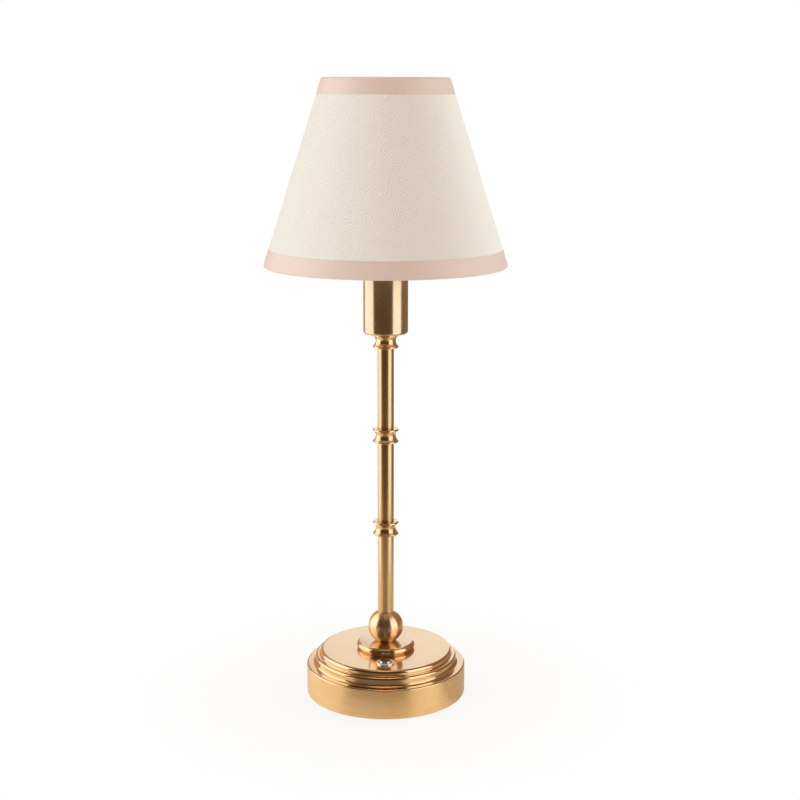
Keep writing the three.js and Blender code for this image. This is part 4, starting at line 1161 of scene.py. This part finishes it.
def setCard(name, vertices, faces, light):  # seen only in the shiny parts
    material = startMaterial(name, {
        "Base Color": (0, 0, 0, 1), "Specular IOR Level": 0.0,
        "Emission Color": linearColour(stageLook["cardColour"]), "Emission Strength": light})[0]
    board = makeObject(name, vertices, faces, material)
    board.visible_camera = False
    board.visible_diffuse = False


def makeCards():
    steps = 24
    for name, fromAzimuth, toAzimuth, low, high, light in stageLook["cards"]:
        vertices = []
        for i in range(steps + 1):
            way = direction(fromAzimuth + (toAzimuth - fromAzimuth) * i / steps) * stageLook["cardDistance"]
            vertices += [(way.x, way.y, low), (way.x, way.y, high)]
        faces = [[2 * i, 2 * i + 1, 2 * i + 3, 2 * i + 2] for i in range(steps)]
        setCard(name, vertices, faces, light)
    sides = 48
    for name, radius, height, light in stageLook["discs"]:
        rim = [direction(360 * i / sides) * radius for i in range(sides)]
        setCard(name, [(way.x, way.y, height) for way in rim], [list(range(sides))], light)


def makeLights():
    s = stageLook
    for box in s["boxes"] + s["fills"]:  # the boxes show in the metal, the fills light the cloth
        name, azimuth, width, height, distance, watts = box
        inMetal = box in s["boxes"]
        lamp = bpy.data.lights.new(name, "AREA")
        lamp.shape = "RECTANGLE"
        lamp.size = width * mm
        lamp.size_y = height * mm
        lamp.energy = watts
        lamp.color = s["boxColour" if inMetal else "softColour"]
        holder = addObject(name, lamp)
        way = direction(azimuth)
        holder.location = way * distance * mm + Vector((0, 0, s["boxHeight"] * mm))
        holder.rotation_euler = way.to_track_quat("Z", "Y").to_euler()
        holder.visible_camera = False
        holder.visible_glossy = inMetal
        holder.visible_diffuse = not inMetal


def makeWorld():
    world = bpy.data.worlds.new("whiteRoom")
    world.use_nodes = True
    bpy.context.scene.world = world
    tree = world.node_tree
    tree.nodes.clear()
    rays = addNode(tree, "LightPath").outputs
    seen = addNode(tree, "Math", [rays["Is Camera Ray"], rays["Is Glossy Ray"]], operation="ADD")
    seenAll = addNode(tree, "Math", [seen, rays["Is Transmission Ray"]], operation="ADD", use_clamp=True)
    fill = addNode(tree, "Background", {"Color": stageLook["fillColour"], "Strength": stageLook["fill"]})
    white = addNode(tree, "Background", {"Color": (1, 1, 1, 1), "Strength": 1.0})
    addNode(tree, "OutputWorld", {"Surface": addNode(tree, "MixShader", [seenAll, fill, white])})


# Camera, at the photograph's angle
cameraLook = {"place": (8.716, -898.039, 373.239), "tilt": 11.642, "roll": 0.105, "focal": 67.197}


def makeCamera():
    s = cameraLook
    lens = bpy.data.cameras.new("photoCamera")
    lens.lens = s["focal"]
    lens.sensor_width = 36
    lens.clip_start = 0.01
    lens.clip_end = 50
    holder = addObject("photoCamera", lens)
    tilt = Matrix.Rotation(math.radians(90 - s["tilt"]), 4, "X")
    roll = Matrix.Rotation(math.radians(s["roll"]), 4, "Z")
    holder.matrix_world = Matrix.Translation(Vector(s["place"]) * mm) @ tilt @ roll
    bpy.context.scene.camera = holder


makeTable()
makeCards()
makeLights()
makeWorld()
makeCamera()
bpy.context.scene.view_settings.view_transform = "Standard"
print("stage made")
